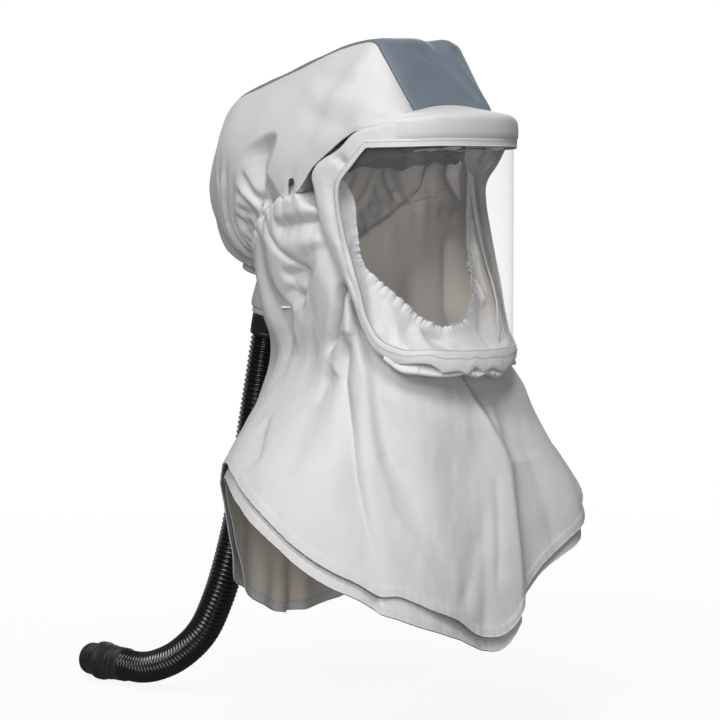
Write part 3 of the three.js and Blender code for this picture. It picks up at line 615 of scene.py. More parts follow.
def film_material():
    m, nt, b = nodes_of("visor_clear")
    b.inputs["Base Color"].default_value = (0.93, 0.95, 1.0, 1)
    b.inputs["Specular IOR Level"].default_value = 0.6
    tc = nt.nodes.new("ShaderNodeTexCoord")
    smear = noise_node(nt, tc.outputs["Object"], 18, 3, 0.5)
    r = math_node(nt, "ADD", math_node(nt, "MULTIPLY", smear, 0.05), 0.03)
    nt.links.new(r, b.inputs["Roughness"])
    # the film turns more opaque towards grazing angles, so its pale blue-white colour shows along its edges: painted
    # reflection
    lw = nt.nodes.new("ShaderNodeLayerWeight")
    lw.inputs["Blend"].default_value = 0.35
    edge_painted_reflection = math_node(nt, "POWER", lw.outputs["Facing"], 4.0)
    a = math_node(nt, "ADD", math_node(nt, "MULTIPLY", edge_painted_reflection, 0.30), 0.035)
    nt.links.new(a, b.inputs["Alpha"])
    return m


M_FILM = film_material()


def dress(o, mat, node=None):
    if o.get("two_faced"):
        o.data.materials[0] = mat
        del o["two_faced"]
    else:
        o.data.materials.clear()
        o.data.materials.append(mat)
    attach(o, "root")
    if node:
        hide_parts(*([node] if isinstance(node, str) else node))
    return o


# ------------------------------------------------------------------ hose, cuff, connector, spout
def route_points(n):
    """The hose's centre line: a centripetal curve through the route's points."""
    pts = np.stack([np.zeros(len(ROUTE)), ROUTE[:, 0], ROUTE[:, 1]], -1)
    key = np.concatenate([[0], np.cumsum(np.sqrt(np.linalg.norm(np.diff(pts, axis=0), axis=1)))])
    dense = through(key, pts, np.linspace(0, key[-1], 800))
    run = running(dense)
    at = np.linspace(0, run[-1], n)
    return np.stack([np.interp(at, run, dense[:, k]) for k in range(3)], -1), run[-1]


_, HOSE_LEN = route_points(50)
PITCH_RIB = 4.6
ribs = int(round(HOSE_LEN / PITCH_RIB))
per = 8
line, _ = route_points(ribs * per + 1)
phase = (np.arange(len(line)) % per) / per
# rounded rib crests with narrower grooves between
rib = np.clip(np.cos(phase * 2 * math.pi) * 0.5 + 0.5, 0, 1) ** 0.7
rad_line = 12.9 + 2.5 * rib
tan = unit(np.gradient(line, axis=0))
sx = np.tile(np.array([1.0, 0, 0]), (len(line), 1))
sy = np.cross(tan, sx)
sides = 40
ang = np.arange(sides) / sides * 2 * math.pi
tube = line[None] + rad_line[None, :, None] * (np.cos(ang)[:, None, None] * sx[None] + np.sin(ang)[:, None, None] * sy[None])
inner_r = rad_line - 1.4
tube_in = line[None] + inner_r[None, :, None] * (np.cos(ang)[:, None, None] * sx[None] + np.sin(ang)[:, None, None] * sy[None])
G = np.concatenate([tube, tube_in[:, ::-1]], 1)
n, m = G.shape[:2]
I, J = np.meshgrid(np.arange(n), np.arange(m), indexing="ij")
F = np.stack([(I * m + J).ravel(), (I * m + (J + 1) % m).ravel(), (((I + 1) % n) * m + (J + 1) % m).ravel(), (((I + 1) % n) * m + J).ravel()], -1)
hose = link("hose_corrugated", G.reshape(-1, 3), F)
dress(hose, M_HOSE, "hose")

END = line[-1] + np.array([0, 0.35, 0])
FAR = END + np.array([0, 58.0, 0])
CL = 58.0
prof = [(11.5, 0.6), (12.1, 0), (14.4, 0), (15.0, 0.6), (15.9, 3.2), (16.0, 6.0), (15.4, 6.6), (15.4, 8.4), (16.0, 9.0), (16.0, CL - 40.6),
        (16.6, CL - 40), (18.4, CL - 38.8), (19.0, CL - 38), (19.0, CL - 32.6), (18.6, CL - 31.8), (17.4, CL - 30), (17.4, CL - 22.4), (17.0, CL - 21.6),
        (16.6, CL - 20), (16.6, CL - 17.2), (16.0, CL - 16.8), (16.0, CL - 15.6), (16.6, CL - 15.2), (16.6, CL - 11), (16.0, CL - 10.6), (16.0, CL - 9.4), (16.6, CL - 9),
        (16.6, CL - 1.0), (16.0, CL - 0.1), (13.2, CL - 0.1), (12.6, CL - 1.0), (12.6, CL - 12), (11.5, CL - 18)]
connector = lathe("hose_end_fitting", prof, FAR, (0, 1, 0), 72)
dress(connector, M_CONN, "hose_connector")
# bayonet lugs on the fitting's collar
lug_v, lug_f = [], []
for k in range(3):
    a0 = k * 2 * math.pi / 3 + 0.5
    base = len(lug_v)
    for ry, r in ((0, 15.8), (0, 17.8), (5.5, 17.8), (5.5, 15.8)):
        for a in np.linspace(a0, a0 + 0.42, 6):
            lug_v.append((math.cos(a) * r, FAR[1] - 11.5 - ry + 0, FAR[2] + math.sin(a) * r))
    for s_ in range(5):
        for r_ in range(4):
            r2 = (r_ + 1) % 4
            lug_f.append((base + r_ * 6 + s_, base + r_ * 6 + s_ + 1, base + r2 * 6 + s_ + 1, base + r2 * 6 + s_))
    lug_f.append(tuple(base + r_ * 6 for r_ in range(4)))
    lug_f.append(tuple(base + r_ * 6 + 5 for r_ in range(3, -1, -1)))
lugs = link("fitting_lugs", lug_v, np.array(lug_f), smooth=False)
dress(lugs, M_CONN)

START = np.array([0, 128.0, -162.0])
cuff = lathe("hose_cuff_smooth", [(13.2, 0.4), (13.2, 19.8), (15.6, 20), (16.4, 19.4), (16.9, 18), (17.0, 16), (17.0, 5.2), (16.6, 4.7), (16.6, 3.9), (17.0, 3.4), (17.0, 1.5), (16.5, 0.5), (15.6, 0.3)], START, DUCT_DIR, 96)
dress(cuff, M_CUFF, "hose_cuff")
spout = lathe("air_spout_moulded", [(13.0, 20.6), (13.0, 64.6), (32.2, 65.0), (33.0, 64.3), (33.0, 60.4), (32.0, 59.4), (19.4, 59.0), (17.4, 58.2), (17.2, 56), (17.7, 51), (18.5, 45),
                                   (19.4, 38), (19.9, 32), (19.9, 28.6), (19.2, 26.4), (18.0, 25.6), (17.6, 24.9), (17.9, 24.2), (18.0, 21.2), (17.4, 20.4)], START, DUCT_DIR, 96)
dress(spout, M_SPOUT, "air_spout")
path_m = [tuple(p * MM) for p in line[::4]]
if tuple(line[-1] * MM) != path_m[-1]:
    path_m.append(tuple(line[-1] * MM))


# ------------------------------------------------------------------ cape
def cape_radius(b, z):
    cols = through(-CAPE[:, 0], CAPE[:, 1:], np.clip(-z, 20, 440))
    a = np.mod(-b, 360) / 45.0
    i = np.floor(a).astype(int)
    t = a - i

    def g(k):
        return np.take_along_axis(cols, ((i + k) % 8)[..., None], -1)[..., 0]
    p0, p1, p2, p3 = g(-1), g(0), g(1), g(2)
    return 0.5 * (2 * p1 + (p2 - p0) * t + (2 * p0 - 5 * p1 + 4 * p2 - p3) * t * t + (3 * p1 - p0 - 3 * p2 + p3) * t**3)


def cape_folds(b, z, r):
    lift = np.zeros(np.shape(b))
    k = r * RAD
    for pts, depth, left, right, soft, on in CAPE_FOLDS:
        lift = lift + depth * fold(b * k, z, [(p * k, q) for p, q in pts], left, right, soft, on, 0.18)
    for rows, back, steep in CAPE_FACETS:
        # the flank's valley is rounded over about 3 mm
        for shift, share in ((-1.5, 0.15), (-0.75, 0.2), (0, 0.3), (0.75, 0.2), (1.5, 0.15)):
            lift = lift + share * facet(b + shift / k, z, k, rows, back, steep)
    return lift


def edge_at(b):
    return through(EDGE[:, 0], EDGE[:, 1:], b)


def cape_surface(b, t, top_of, layer):
    """Grid of the cape: bearings b, fractions t from top edge to hem (below 0 tucked up inside); layer 0 outer, 1 under."""
    B, T = np.meshgrid(b, t, indexing="ij")
    e = edge_at(B)
    top, hem = e[..., 0], e[..., 1]
    z0 = top_of(top, hem, B)
    hem = hem + noise(np.stack([B * 0.12, 0 * B, 0 * B + layer * 7.3], -1), 5) * (1.0 + 2.5 * ramp(116, 126, -B)) - e[..., 2] * layer
    Tp = np.maximum(T, 0)
    z = z0 + (hem - z0) * Tp
    base = cape_radius(B, z)
    tuck = 8.0 * (1 - ramp(0, 0.22, (z - top) / (hem - top))) * (1 - ramp(76, 96, np.abs(B)))
    r = base + cape_folds(B, z, base) - tuck
    low = ramp(-190, -330, z)
    r = r + low * ramp(112, 126, -B) * 2.6 * noise(np.stack([B * 0.14, z * 0.010 + layer * 3.1, 0 * B], -1), 14 + layer)
    # long soft hanging waves that grow towards the hem, and small buckles
    r = r + low * 2.0 * noise(np.stack([B * 0.075, z * 0.004, 0 * B], -1), 11)
    r = r + 0.8 * noise(np.stack([B * 0.11, z * 0.022, 0 * B + 3], -1), 21) + 0.3 * noise(np.stack([B * 0.3, z * 0.06, 0 * B + 3], -1), 22)
    down = top - z
    gather = np.exp(-np.maximum(0, down) / 12.0) * (0.1 * ramp(72, 86, np.abs(B)) + 0.9 * ramp(101, 110, np.abs(B)))
    wave = np.sin(B * 0.74 + 1.3 * noise(np.stack([B * 0.05, 0 * B, 0 * B], -1), 31))
    if layer == 0:
        z = z + 7.0 * np.exp(-((B + 94.8) / 1.8) ** 2 - (down / 9.0) ** 2)
        r = r + gather * (2.2 * wave + 0.8 * np.sin(B * 1.9 + 1))
        z = z + gather * 2.0 * np.sin(B * 0.74 + 2.4) * (T >= 0)
        # the top edge is tucked up behind the crown's gathered edge
        up = np.maximum(-T, 0)
        deep = ramp(70, 84, np.abs(B))
        rear = ramp(103, 110, -B) * (1 - ramp(136, 146, -B))
        pit = np.exp(-((B + 90.0) / 10.5) ** 4)
        r = r - up ** 0.7 * ((4 + 6 * deep - (3 + 3 * deep) * ramp(40, 50, B) * (1 - ramp(96, 108, B))) * (1 - rear) + 0.8 * rear) - 24 * pit * ramp(0, 0.3, up)
        z = z + up * ((5 + 9 * deep + 20 * ramp(40, 50, B) * (1 - ramp(104, 116, B))) * (1 - rear) * (1 - 0.7 * pit) + 1.2 * rear) + 26 * pit * ramp(0.25, 1, up)
    else:
        # the under layer's front panel laps over its side panel
        r = r + 4.0 * ramp(-46.3, -45.5, B) * (1 - ramp(-40, -20, B))
        r = r - 4.2 - 2.3 * ramp(92, 112, np.abs(B)) - 2.3 * ramp(-52, -46, B) * (1 - ramp(-4, 8, B))
    # the turned hem: a doubled edge with its stitch line
    rise = z - hem
    r = r + 0.6 * (1 - ramp(9.0, 10.4, rise)) - 0.5 * np.exp(-((rise - 8.6) / 1.0) ** 2)
    pull = np.exp(-np.maximum(0, rise - 3) / 9.0)
    r = r + pull * 0.18 * np.sin(B * (2.3 if layer == 0 else 2.7) + 4 * noise(np.stack([B * 0.09, 0 * B, 0 * B], -1), 33 + layer))
    # on the far side the tucked edge also runs forward behind the frame
    Bt = B - np.maximum(-T, 0) * 10 * ramp(40, 50, B) * (1 - ramp(86, 98, B)) * (layer == 0)
    return np.stack([r * np.sin(Bt * RAD), AXIS_Y - r * np.cos(Bt * RAD), z], -1)


bear = np.concatenate([np.arange(-180, -132, 2.4), np.arange(-132, 62, 0.66), np.arange(62, 180, 2.4)])
t_out = np.concatenate([[-1, -0.6, -0.3, -0.1], np.linspace(0, 0.94, 106), np.linspace(0.946, 1, 12)])
CO = cape_surface(bear, t_out, lambda top, hem, b: top, 0)
cape_o = shell("cape_outer_cloth", CO, 1.3, closed=True, shift=-0.5, hub=(0, AXIS_Y), inside=M_INNER_PAINTED_LIGHT, turned=9.5)
dress(cape_o, M_CAPE, "cape_outer")


def neckline(top, hem, b):
    return np.minimum(top - 30, -195) * 0.6 + (hem + 60) * 0.4


t_in = np.concatenate([np.linspace(0, 0.9, 60), np.linspace(0.905, 1, 16)])
CI = cape_surface(bear, t_in, neckline, 1)
cape_i = shell("cape_inner_cloth", CI, 1.3, closed=True, shift=-0.5, hub=(0, AXIS_Y), inside=M_INNER_PAINTED_LIGHT, turned=9.5)
dress(cape_i, M_CAPE, "cape_inner")


def at_rows(P, dist_from_end):
    """Points of a grid a given distance (mm) up from its last edge, and the surface normals there."""
    N = normals_of(P, True)
    back = np.cumsum(np.linalg.norm(np.diff(P[:, ::-1], axis=1), axis=-1), 1)
    back = np.concatenate([np.zeros((len(P), 1)), back], 1)[:, ::-1]
    out, nor = [], []
    for i in range(len(P)):
        k = np.interp(dist_from_end, back[i][::-1], np.arange(P.shape[1])[::-1])
        j = int(min(P.shape[1] - 2, max(0, math.floor(k))))
        f = k - j
        out.append(P[i, j] * (1 - f) + P[i, j + 1] * f)
        nor.append(N[i, j])
    return np.array(out), np.array(nor)


def outward(path, nor, centre):
    sgn = np.sign(np.einsum("ij,ij->i", nor, path - centre))
    return nor * np.where(sgn == 0, 1, sgn)[:, None]


# the under layer's stitches take the darker thread copy: painted shade
for nm, grid, mat in (("hem_stitch_outer", CO, M_THREAD), ("hem_stitch_inner", CI, M_THREAD_PAINTED_SHADE)):
    pth, nor = at_rows(grid, 8.6)
    cen = pth.copy()
    cen[:, 0], cen[:, 1] = 0, AXIS_Y
    nor = outward(pth, nor, cen)
    pth = np.concatenate([pth, pth[:1]])
    nor = np.concatenate([nor, nor[:1]])
    st = stitches(nm, pth, nor, 3.6, 2.4, 0.42, 0.22)
    dress(st, mat)

# ------------------------------------------------------------------ crown shell
SLATE_RUN = running(SLATE[:, 1:])
SLATE_LEN = SLATE_RUN[-1]
ARCH_BACK, ARCH_RISE = 6.0, 8.0


def slate_at(d):
    return through(SLATE_RUN, SLATE, np.clip(d, 0, SLATE_LEN))


def crown_ends(s):
    r = through(np.arange(len(CROWN)), CROWN, s)
    d = r[..., 0]
    e = slate_at(d)
    top = np.stack([-e[..., 0], e[..., 1], e[..., 2]], -1)
    q0 = np.clip(-d / 50, 0, 1)
    q = 1 - (1 - q0) ** 2
    arch = np.stack([-50 * (1 - q0), -110 + ARCH_BACK * q, 39 + ARCH_RISE * q], -1)
    return np.where((d < 0)[..., None], arch, top), r[..., 1:4], r[..., 4], r[..., 5]


# crown folds: line of (station, fraction), depth, width on its left, width on its right, softness, runs on, run-in
CROWN_FLANK = [  # (fraction, ridge station, valley station, depth) of the pocket behind the ear
    (-0.548, 9.86, 10.2, 0), (-0.572, 9.58, 10.3, 8), (-0.61, 9.42, 10.45, 12.5), (-0.68, 9.40, 10.6, 13.5), (-0.76, 9.56, 10.62, 13.5), (-0.84, 9.78, 10.6, 11.5),
    (-0.86, 9.70, 10.52, 11), (-0.92, 9.36, 10.25, 9), (-1.06, 8.80, 9.9, 7)]
CROWN_FOLDS = [
    ([(8.47, 0.80), (8.45, 1.04)], -1.2, 6.0, 6.0, 1, 1, 0.5),
    ([(11.6, 0.64), (11.45, 0.76), (11.2, 0.87), (10.75, 1.0)], -6.0, 4.5, 2.6, 0.4, 1, 0.3),
    ([(12.25, 0.70), (11.9, 0.81), (11.5, 0.91), (11.15, 1.0)], -6.5, 4, 2.6, 0.4, 1, 0.3),
    ([(12.65, 0.79), (11.9, 0.89), (11.3, 1.0)], -7, 4, 2.8, 0.4, 1, 0.25),
    ([(13.05, 0.78), (12.75, 0.87), (11.9, 0.97), (11.7, 1.0)], -6.0, 4, 2.6, 0.4, 1, 0.3),
    ([(13.15, 0.91), (12.4, 0.97), (11.95, 1.0)], -6, 4, 2.8, 0.5, 1, 0.3),
    ([(11.3, 0.85), (10.7, 0.91), (10.1, 1.0)], -6, 4, 2.4, 0.5, 1, 0.2),
    ([(10.95, 0.93), (10.4, 1.0)], 1.5, 4, 4, 1, 1, 0.3),
    ([(12.0, 0.74), (11.6, 0.84), (11.0, 0.97)], 1.8, 4, 4, 1, 1, 0.3),
    ([(12.45, 0.77), (11.85, 0.86), (11.35, 0.96)], 1.8, 4, 4, 1, 1, 0.3),
    ([(12.05, 0.44), (12.8, 0.62), (14.1, 0.72), (14.6, 0.86), (15.0, 1.0)], -3.0, 3.0, 4, 0.4, 1, 0.3),
    ([(11.75, 0.60), (12.5, 0.72), (13.6, 0.80), (14.0, 0.92), (14.3, 1.0)], -3.0, 2.8, 3.6, 0.4, 1, 0.3),
    ([(12.75, 0.28), (13.5, 0.53), (14.7, 0.63), (15.6, 0.78), (16.1, 0.95)], -2.4, 3, 4, 0.5, 1, 0.3),
    ([(12.4, 0.45), (13.2, 0.60), (14.4, 0.68), (15.2, 0.82)], 1.6, 3, 3, 1, 1, 0.3),
    ([(9.6, 0.12), (6.5, 0.42), (4.2, 0.26)], -1.8, 9, 8, 0.9, 0, 0.3),
    ([(8.9, 0.40), (6.6, 0.74), (5.2, 0.92)], -1.6, 9, 7, 0.9, 0, 0.3),
    ([(9.7, 0.10), (8.1, 0.42), (3.9, 0.70)], 1.4, 9, 9, 1, 0, 0.3),
]


def crown_grid(s, t, side):
    """One half of the crown: stations s, fractions t (over 1 is past the low edge); side -1 right, 1 left."""
    top, low, bulge, skew = crown_ends(s)
    if side > 0:
        bulge = bulge * (0.25 + 0.75 * ramp(5, 9, s)) - 9 * ramp(0.8, 2.4, s) * (1 - ramp(5, 8.5, s))
    t1, l1, _, _ = crown_ends(np.clip(s + 0.05, 0, 18))
    t0, l0, _, _ = crown_ends(np.clip(s - 0.05, 0, 18))
    nn = unit(np.cross((t1 + l1) - (t0 + l0), low - top))
    mid = (top + low) / 2 - np.array([0, 20.0, 0])
    nn = nn * np.sign(np.einsum("ij,ij->i", nn, mid))[:, None]
    size = np.linalg.norm(low - top, axis=1)
    # scalloped low edge at the ear
    scal = 2.5 * np.exp(-((s - 8.15) / 0.22) ** 2) - (13.0 if side < 0 else 3.0) * np.exp(-((s - 8.46) / 0.24) ** 4) + 3.0 * np.exp(-((s - 8.8) / 0.16) ** 2) - 2.0 * np.exp(-((s - 5.9) / 0.5) ** 2)
    scal = scal + ramp(9.8, 10.6, s) * (3.0 + 1.2 * np.sin(s * 8.5 + 0.6)) * (1 if side < 0 else 0.6)
    T = t[None, :] + (scal / size)[:, None] * ramp(0.76, 1, t)[None, :]
    Tc = np.minimum(T, 1)
    tt = Tc ** skew[:, None]
    lift = bulge[:, None] * 4 * tt * (1 - tt)
    P = top[:, None] * (1 - T)[..., None] + low[:, None] * T[..., None]
    base = top[:, None] * (1 - t)[None, :, None] + low[:, None] * t[None, :, None]
    across = np.linalg.norm(np.gradient(base, axis=0), axis=-1) / np.gradient(s)[:, None]
    S = np.broadcast_to(s[:, None], base.shape[:2])
    ax = np.maximum(across, 4.0)
    dmm = T * size[:, None]
    ease = 1.0 if side < 0 else 0.75
    SS = S if side < 0 else S + 0.25
    for pts, depth, left, right, soft, on, start in CROWN_FOLDS:
        lift = lift + ease * depth * fold(SS * ax, dmm, [(a * ax, b * size[:, None]) for a, b in pts], left, right, soft, on, start)
    lift = lift + ease * facet(SS, -T, ax, CROWN_FLANK, 16.0, 0.35)
    lift = lift * (1 - 0.8 * ramp(0.88, 1, T) * ramp(9.9, 10.5, S))
    lift = lift - 2.5 * ramp(0.93, 1, T) * ramp(9.4, 10.0, S) * (1 if side < 0 else 0)
    # gathers along the elastic line, from the ear round to the nape
    g = ramp(9.6, 10.4, S) * np.exp(-np.maximum(0, 1 - T) * size[:, None] / 8.0)
    lift = lift + g * 1.7 * np.sin(S * 8.5 + 1.5 * noise(np.stack([S * 1.3, 0 * S, 0 * S + side], -1), 41))
    # the panel is drawn down into its slate seam
    lift = lift - 1.3 * np.exp(-dmm / 2.6)
    P = P + nn[:, None] * lift[..., None]
    P = P + nn[:, None] * (0.5 * noise(P * 0.025, 51) + 0.12 * noise(P * 0.085, 52))[..., None] * (ramp(0, 10, dmm))[..., None]
    if side > 0:
        P = P * np.array([-1, 1, 1])
    return P


def brow_lip(s, P, side):
    """Rows that carry the crown over the brow's top edge and down its face to the stitched hem."""
    end, prev = P[:, -1], P[:, -4]
    i = np.argmin((np.abs(end[:, :1]) - PX[None]) ** 2 + (end[:, 1:2] - PY[None]) ** 2, axis=1)
    w = PS[i] * np.sign(end[:, 0] + 1e-9)
    nrm = on_plan(w, 0 * w, 1 + 0 * w) - on_plan(w, 0 * w, 0 * w)
    nrm[:, 2] = 0
    nrm = unit(nrm)
    have = (1 - ramp(4.0, 5.4, s))[:, None]
    cover = (1 - ramp(1.6, 4.2, s))[:, None]
    zc = np.interp(np.abs(w), FRAME[:5, 2], FRAME[:5, 3]) + 1.5 - 5.0
    drop = (zc - np.interp(np.abs(w), FRAME[:5, 0], FRAME[:5, 1]) - 5.8)[:, None]
    face = on_plan(w, zc, 0 * w)
    meet = face + nrm * (-3.1 + 6.4 * math.cos(64 * RAD)) + np.array([0, 0, 6.4 * math.sin(64 * RAD)])
    P = P + have[:, None] * ramp(0.72, 1, np.linspace(0, 1, P.shape[1]))[None, :, None] * (meet - end)[:, None]
    end, prev = P[:, -1], P[:, -4]
    under = (ramp(8.58, 8.85, s) * (1 - ramp(13.0, 14.2, s)))[:, None] * (side < 0)
    deep = (1 - ramp(11.0, 12.2, s))[:, None]
    inward = unit(np.array([0, 20.0, 0]) - end) * np.array([1, 1, 0])
    up = np.array([0, 0, 1.0])
    roll = [(56, 6.3), (45, 6.1), (33, 5.7), (21, 5.1), (10, 4.4)]
    hang = [0.1, 0.25, 0.42, 0.6, 0.78, 0.92, 1.0]
    rows, count = [], len(roll) + len(hang)
    for k in range(count):
        if k < len(roll):
            a, rl = roll[k]
            rl = rl * (1 - cover) + 6.4 * cover
            rolled = face + nrm * (-3.1 + rl * math.cos(a * RAD)) + up * (rl * math.sin(a * RAD))
        else:
            q = hang[k - len(roll)]
            off = 3.3 + 0.5 * math.sin(math.pi * q) - 0.95 * float(ramp(0.8, 1, q))
            rolled = face + nrm * (1.15 + (off - 1.15) * cover) + up * (0.9 * (1 - q)) - up * drop * q
        j = (k + 1) / count * 5
        free = end + unit(end - prev) * j * 0.3
        tucked = end + inward * j * (1.1 + 0.9 * deep) + up * (-2.2 - 2.4 * deep) * j
        rows.append(have * rolled + (1 - have) * (free * (1 - under) + tucked * under))
    return np.concatenate([P, np.stack(rows, 1)], 1)


s_half = np.concatenate([np.linspace(0, 7, 70), np.linspace(7, 14.5, 172)[1:], np.linspace(14.5, 17, 28)[1:], np.linspace(17, 18, 14)[1:]])
t_c = np.linspace(0.008, 1, 70)
CR = crown_grid(s_half, t_c, -1)
CRr, CRl = brow_lip(s_half, CR, -1), brow_lip(s_half, crown_grid(s_half, t_c, 1), 1)
seam = (CRr[0] + CRl[0]) / 2
for half in (CRr, CRl):
    fade = (1 - ramp(0, 1.2, s_half))[:, None, None]
    half += fade * (seam - half[0])[None]
full = np.concatenate([CRr[::-1], CRl[1:]], 0)
full[len(CR) - 1, :, 0] = 0
crown = shell("crown_cloth", full, 1.3, closed=False, shift=0.0, hub=(0, 20, -20), inside=M_INNER_PAINTED_LIGHT)
dress(crown, M_LIGHT, "crown_shell")

# ------------------------------------------------------------------ slate centre panel
d_s = np.concatenate([np.linspace(0, 12, 14), np.linspace(12, SLATE_LEN - 6, 190)[1:], np.linspace(SLATE_LEN - 6, SLATE_LEN, 8)[1:]])
q_s = np.linspace(-1, 1, 61)
e = slate_at(d_s)
e1, e0 = slate_at(d_s + 1), slate_at(d_s - 1)
ty, tz = e1[:, 1] - e0[:, 1], e1[:, 2] - e0[:, 2]
l = np.hypot(ty, tz)
ny, nz = -tz / l, ty / l
arch = (1 - q_s[None] ** 2) * (1 - ramp(0, 50, d_s))[:, None]
STAND = np.array([[0, 0], [40, 3], [80, 3], [130, 5], [255, 5.5], [285, 4], [305, 1.5], [340, 2.5], [355, 4.5], [368, 1.5], [395, -5], [412, -4.5], [425, -3], [445, -3], [459, 0]], float)
proud = through(STAND[:, 0], STAND[:, 1], d_s)[:, None] * (1 - q_s[None] ** 6)
X = (e[:, 0] - 0.9)[:, None] * q_s[None]
edge_mm = (1 - np.abs(q_s))[None] * e[:, :1]
proud = proud - 1.0 * np.exp(-edge_mm / 2.0)
# dip in the front top edge on the wearer's left, and slack in the front face
proud = proud - 4.0 * np.exp(-((d_s[:, None] - 76) / 9) ** 2 - ((X - 20) / 9) ** 2) + 2.0 * np.exp(-((d_s[:, None] - 76) / 9) ** 2 - ((X - 36) / 8) ** 2)
XX, DD = np.broadcast_to(X, arch.shape), np.broadcast_to(d_s[:, None], arch.shape)
proud = proud - 1.8 * fold(XX, -DD, [(-14, -74), (10, -45), (34, -14)], 7, 4, 0.7, 1) + 1.6 * fold(XX, -DD, [(22, -74), (34, -40), (46, -10)], 9, 9, 1, 1)
SL = np.stack([np.broadcast_to(X, arch.shape), e[:, 1:2] + ARCH_BACK * arch + ny[:, None] * proud, e[:, 2:3] + ARCH_RISE * arch + nz[:, None] * proud], -1)
SL = SL + np.stack([0 * arch, ny[:, None] + 0 * arch, nz[:, None] + 0 * arch], -1) * (0.9 * noise(SL * 0.035, 61) * ramp(0, 8, edge_mm))[..., None]
top_panel = shell("top_panel_cloth", SL, 1.3, closed=False)
dress(top_panel, M_SLATE, "top_panel")

# ------------------------------------------------------------------ visor frame
FR_RUN = running(np.stack([(FRAME[:, 0] + FRAME[:, 2]) / 2, (FRAME[:, 1] + FRAME[:, 3]) / 2], -1))


CHIN = np.array([  # chin band: distance round, drop of its uneven lower edge
    [-100, 0], [-92, -1], [-86, -1.8], [-81, -3.4], [-76, 1.4], [-70, 3.2], [-63, 3.3], [-54, 2.6], [-48, -0.5], [-44, -3.9], [-36, -2.8],
    [-29, -1.8], [-20, -5.2], [-11, 1.5], [-1, -3.9], [9, -0.2], [27, -5.2], [44, 1], [60, 2.5], [75, -2], [90, 0], [100, 0]], float)


def frame_at(k):
    return through(FR_RUN, FRAME, k * FR_RUN[-1])


def frame_surface(k, side, t):
    """Frame band: k along (0 brow middle .. 1 chin middle), side -1 right / 1 left, t from window edge to outer edge,
    over 1 the gusset tucked up inside the crown."""
    r = frame_at(k)
    K, T0 = np.meshgrid(k, t, indexing="ij")
    T = np.minimum(T0, 1)
    ww, wz, ow, oz = (r[:, c:c + 1].copy() for c in range(4))
    brow = 1 - ramp(0.22, 0.30, K)
    oz = oz + 1.5 * brow[:, :1]
    low = ramp(0.80, 0.87, K[:, :1])
    oz = oz + low * np.interp(side * ow, CHIN[:, 0], CHIN[:, 1])
    wz = wz + 2.2 * low
    w = ww + (ow - ww) * T
    z = wz + (oz - wz) * T
    span = np.hypot(ow - ww, oz - wz)
    mm = T * span
    rest = np.maximum(span - mm, 0)
    off = 1.9 + (1 - brow) * 0.7 * np.sin(math.pi * T) ** 0.8
    # the brow under the crown's turned-down front
    off = off + brow * 0.2 * np.sin(math.pi * np.clip((mm - 9.5) / 15, 0, 1))
    # the chin band leans out towards its lower edge
    off = off + low * 3.0 * T * (1 - ramp(35, 85, side * ow))
    # the window hem: a doubled, stitched edge
    off = off + 0.35 * (1 - ramp(5.2, 6.4, mm)) - 0.15 * np.exp(-((mm - 4.6) / 1.3) ** 2)
    # rolled over at the brow's top, drawn into the seam along the sides
    roll_in = np.clip((5.0 - rest) / 5.0, 0, 1)
    off = off - brow * 5.0 * (1 - np.sqrt(np.maximum(0, 1 - roll_in ** 2))) - (1 - brow) * 0.8 * np.exp(-rest / 3.0)
    kf = FR_RUN[6] / FR_RUN[-1]
    off = off - 3.0 * np.exp(-((K - kf - 0.012 * np.sin(T * 3)) / 0.014) ** 2) * ramp(2, 9, mm) * (1 - ramp(0.7, 1, T))
    # soft slack in the side flaps
    flap = ramp(0.27, 0.36, K) * (1 - ramp(0.62, 0.74, K))
    off = off + flap * (1.0 * np.sin(T * 5.2 + 2.0 + 6 * K) * ramp(6, 12, mm) + 0.7 * noise(np.stack([K * 14, T * 3.0, 0 * K + side], -1), 71))
    off = off + 0.2 * noise(np.stack([K * 60, T * 2.0, 0 * K + side * 3], -1), 72) * ramp(5, 9, mm)
    ext = np.maximum(T0 - 1, 0) / 0.3
    tail = 1 - ramp(0.40, 0.48, K)
    off = off - ext * (2.0 + 11.0 * tail * (1 - 0.5 * brow))
    w = w + (ow - ww) / span * ext * 9 * tail * (1 - brow)
    z = z + ((oz - wz) / span * 9 * (1 - brow) - 5.0 * brow) * ext * tail
    return on_plan(side * w, z, off)


k_f = np.linspace(0, 1, 261)
t_f = np.concatenate([np.linspace(0, 0.3, 13), np.linspace(0.3, 0.8, 12)[1:], np.linspace(0.8, 1, 12)[1:], [1.08, 1.18, 1.3]])
FRr = frame_surface(k_f, -1, t_f)
FRl = frame_surface(k_f, 1, t_f)
ringf = np.concatenate([FRr, FRl[::-1][1:-1]], 0)
frame_o = shell("visor_frame_cloth", ringf, 1.4, closed=True, hub=(0, -40), inside=M_VISOR_BACK_PAINTED_LIGHT)
dress(frame_o, M_FRAME_PAINTED_LIGHT, "visor_frame")

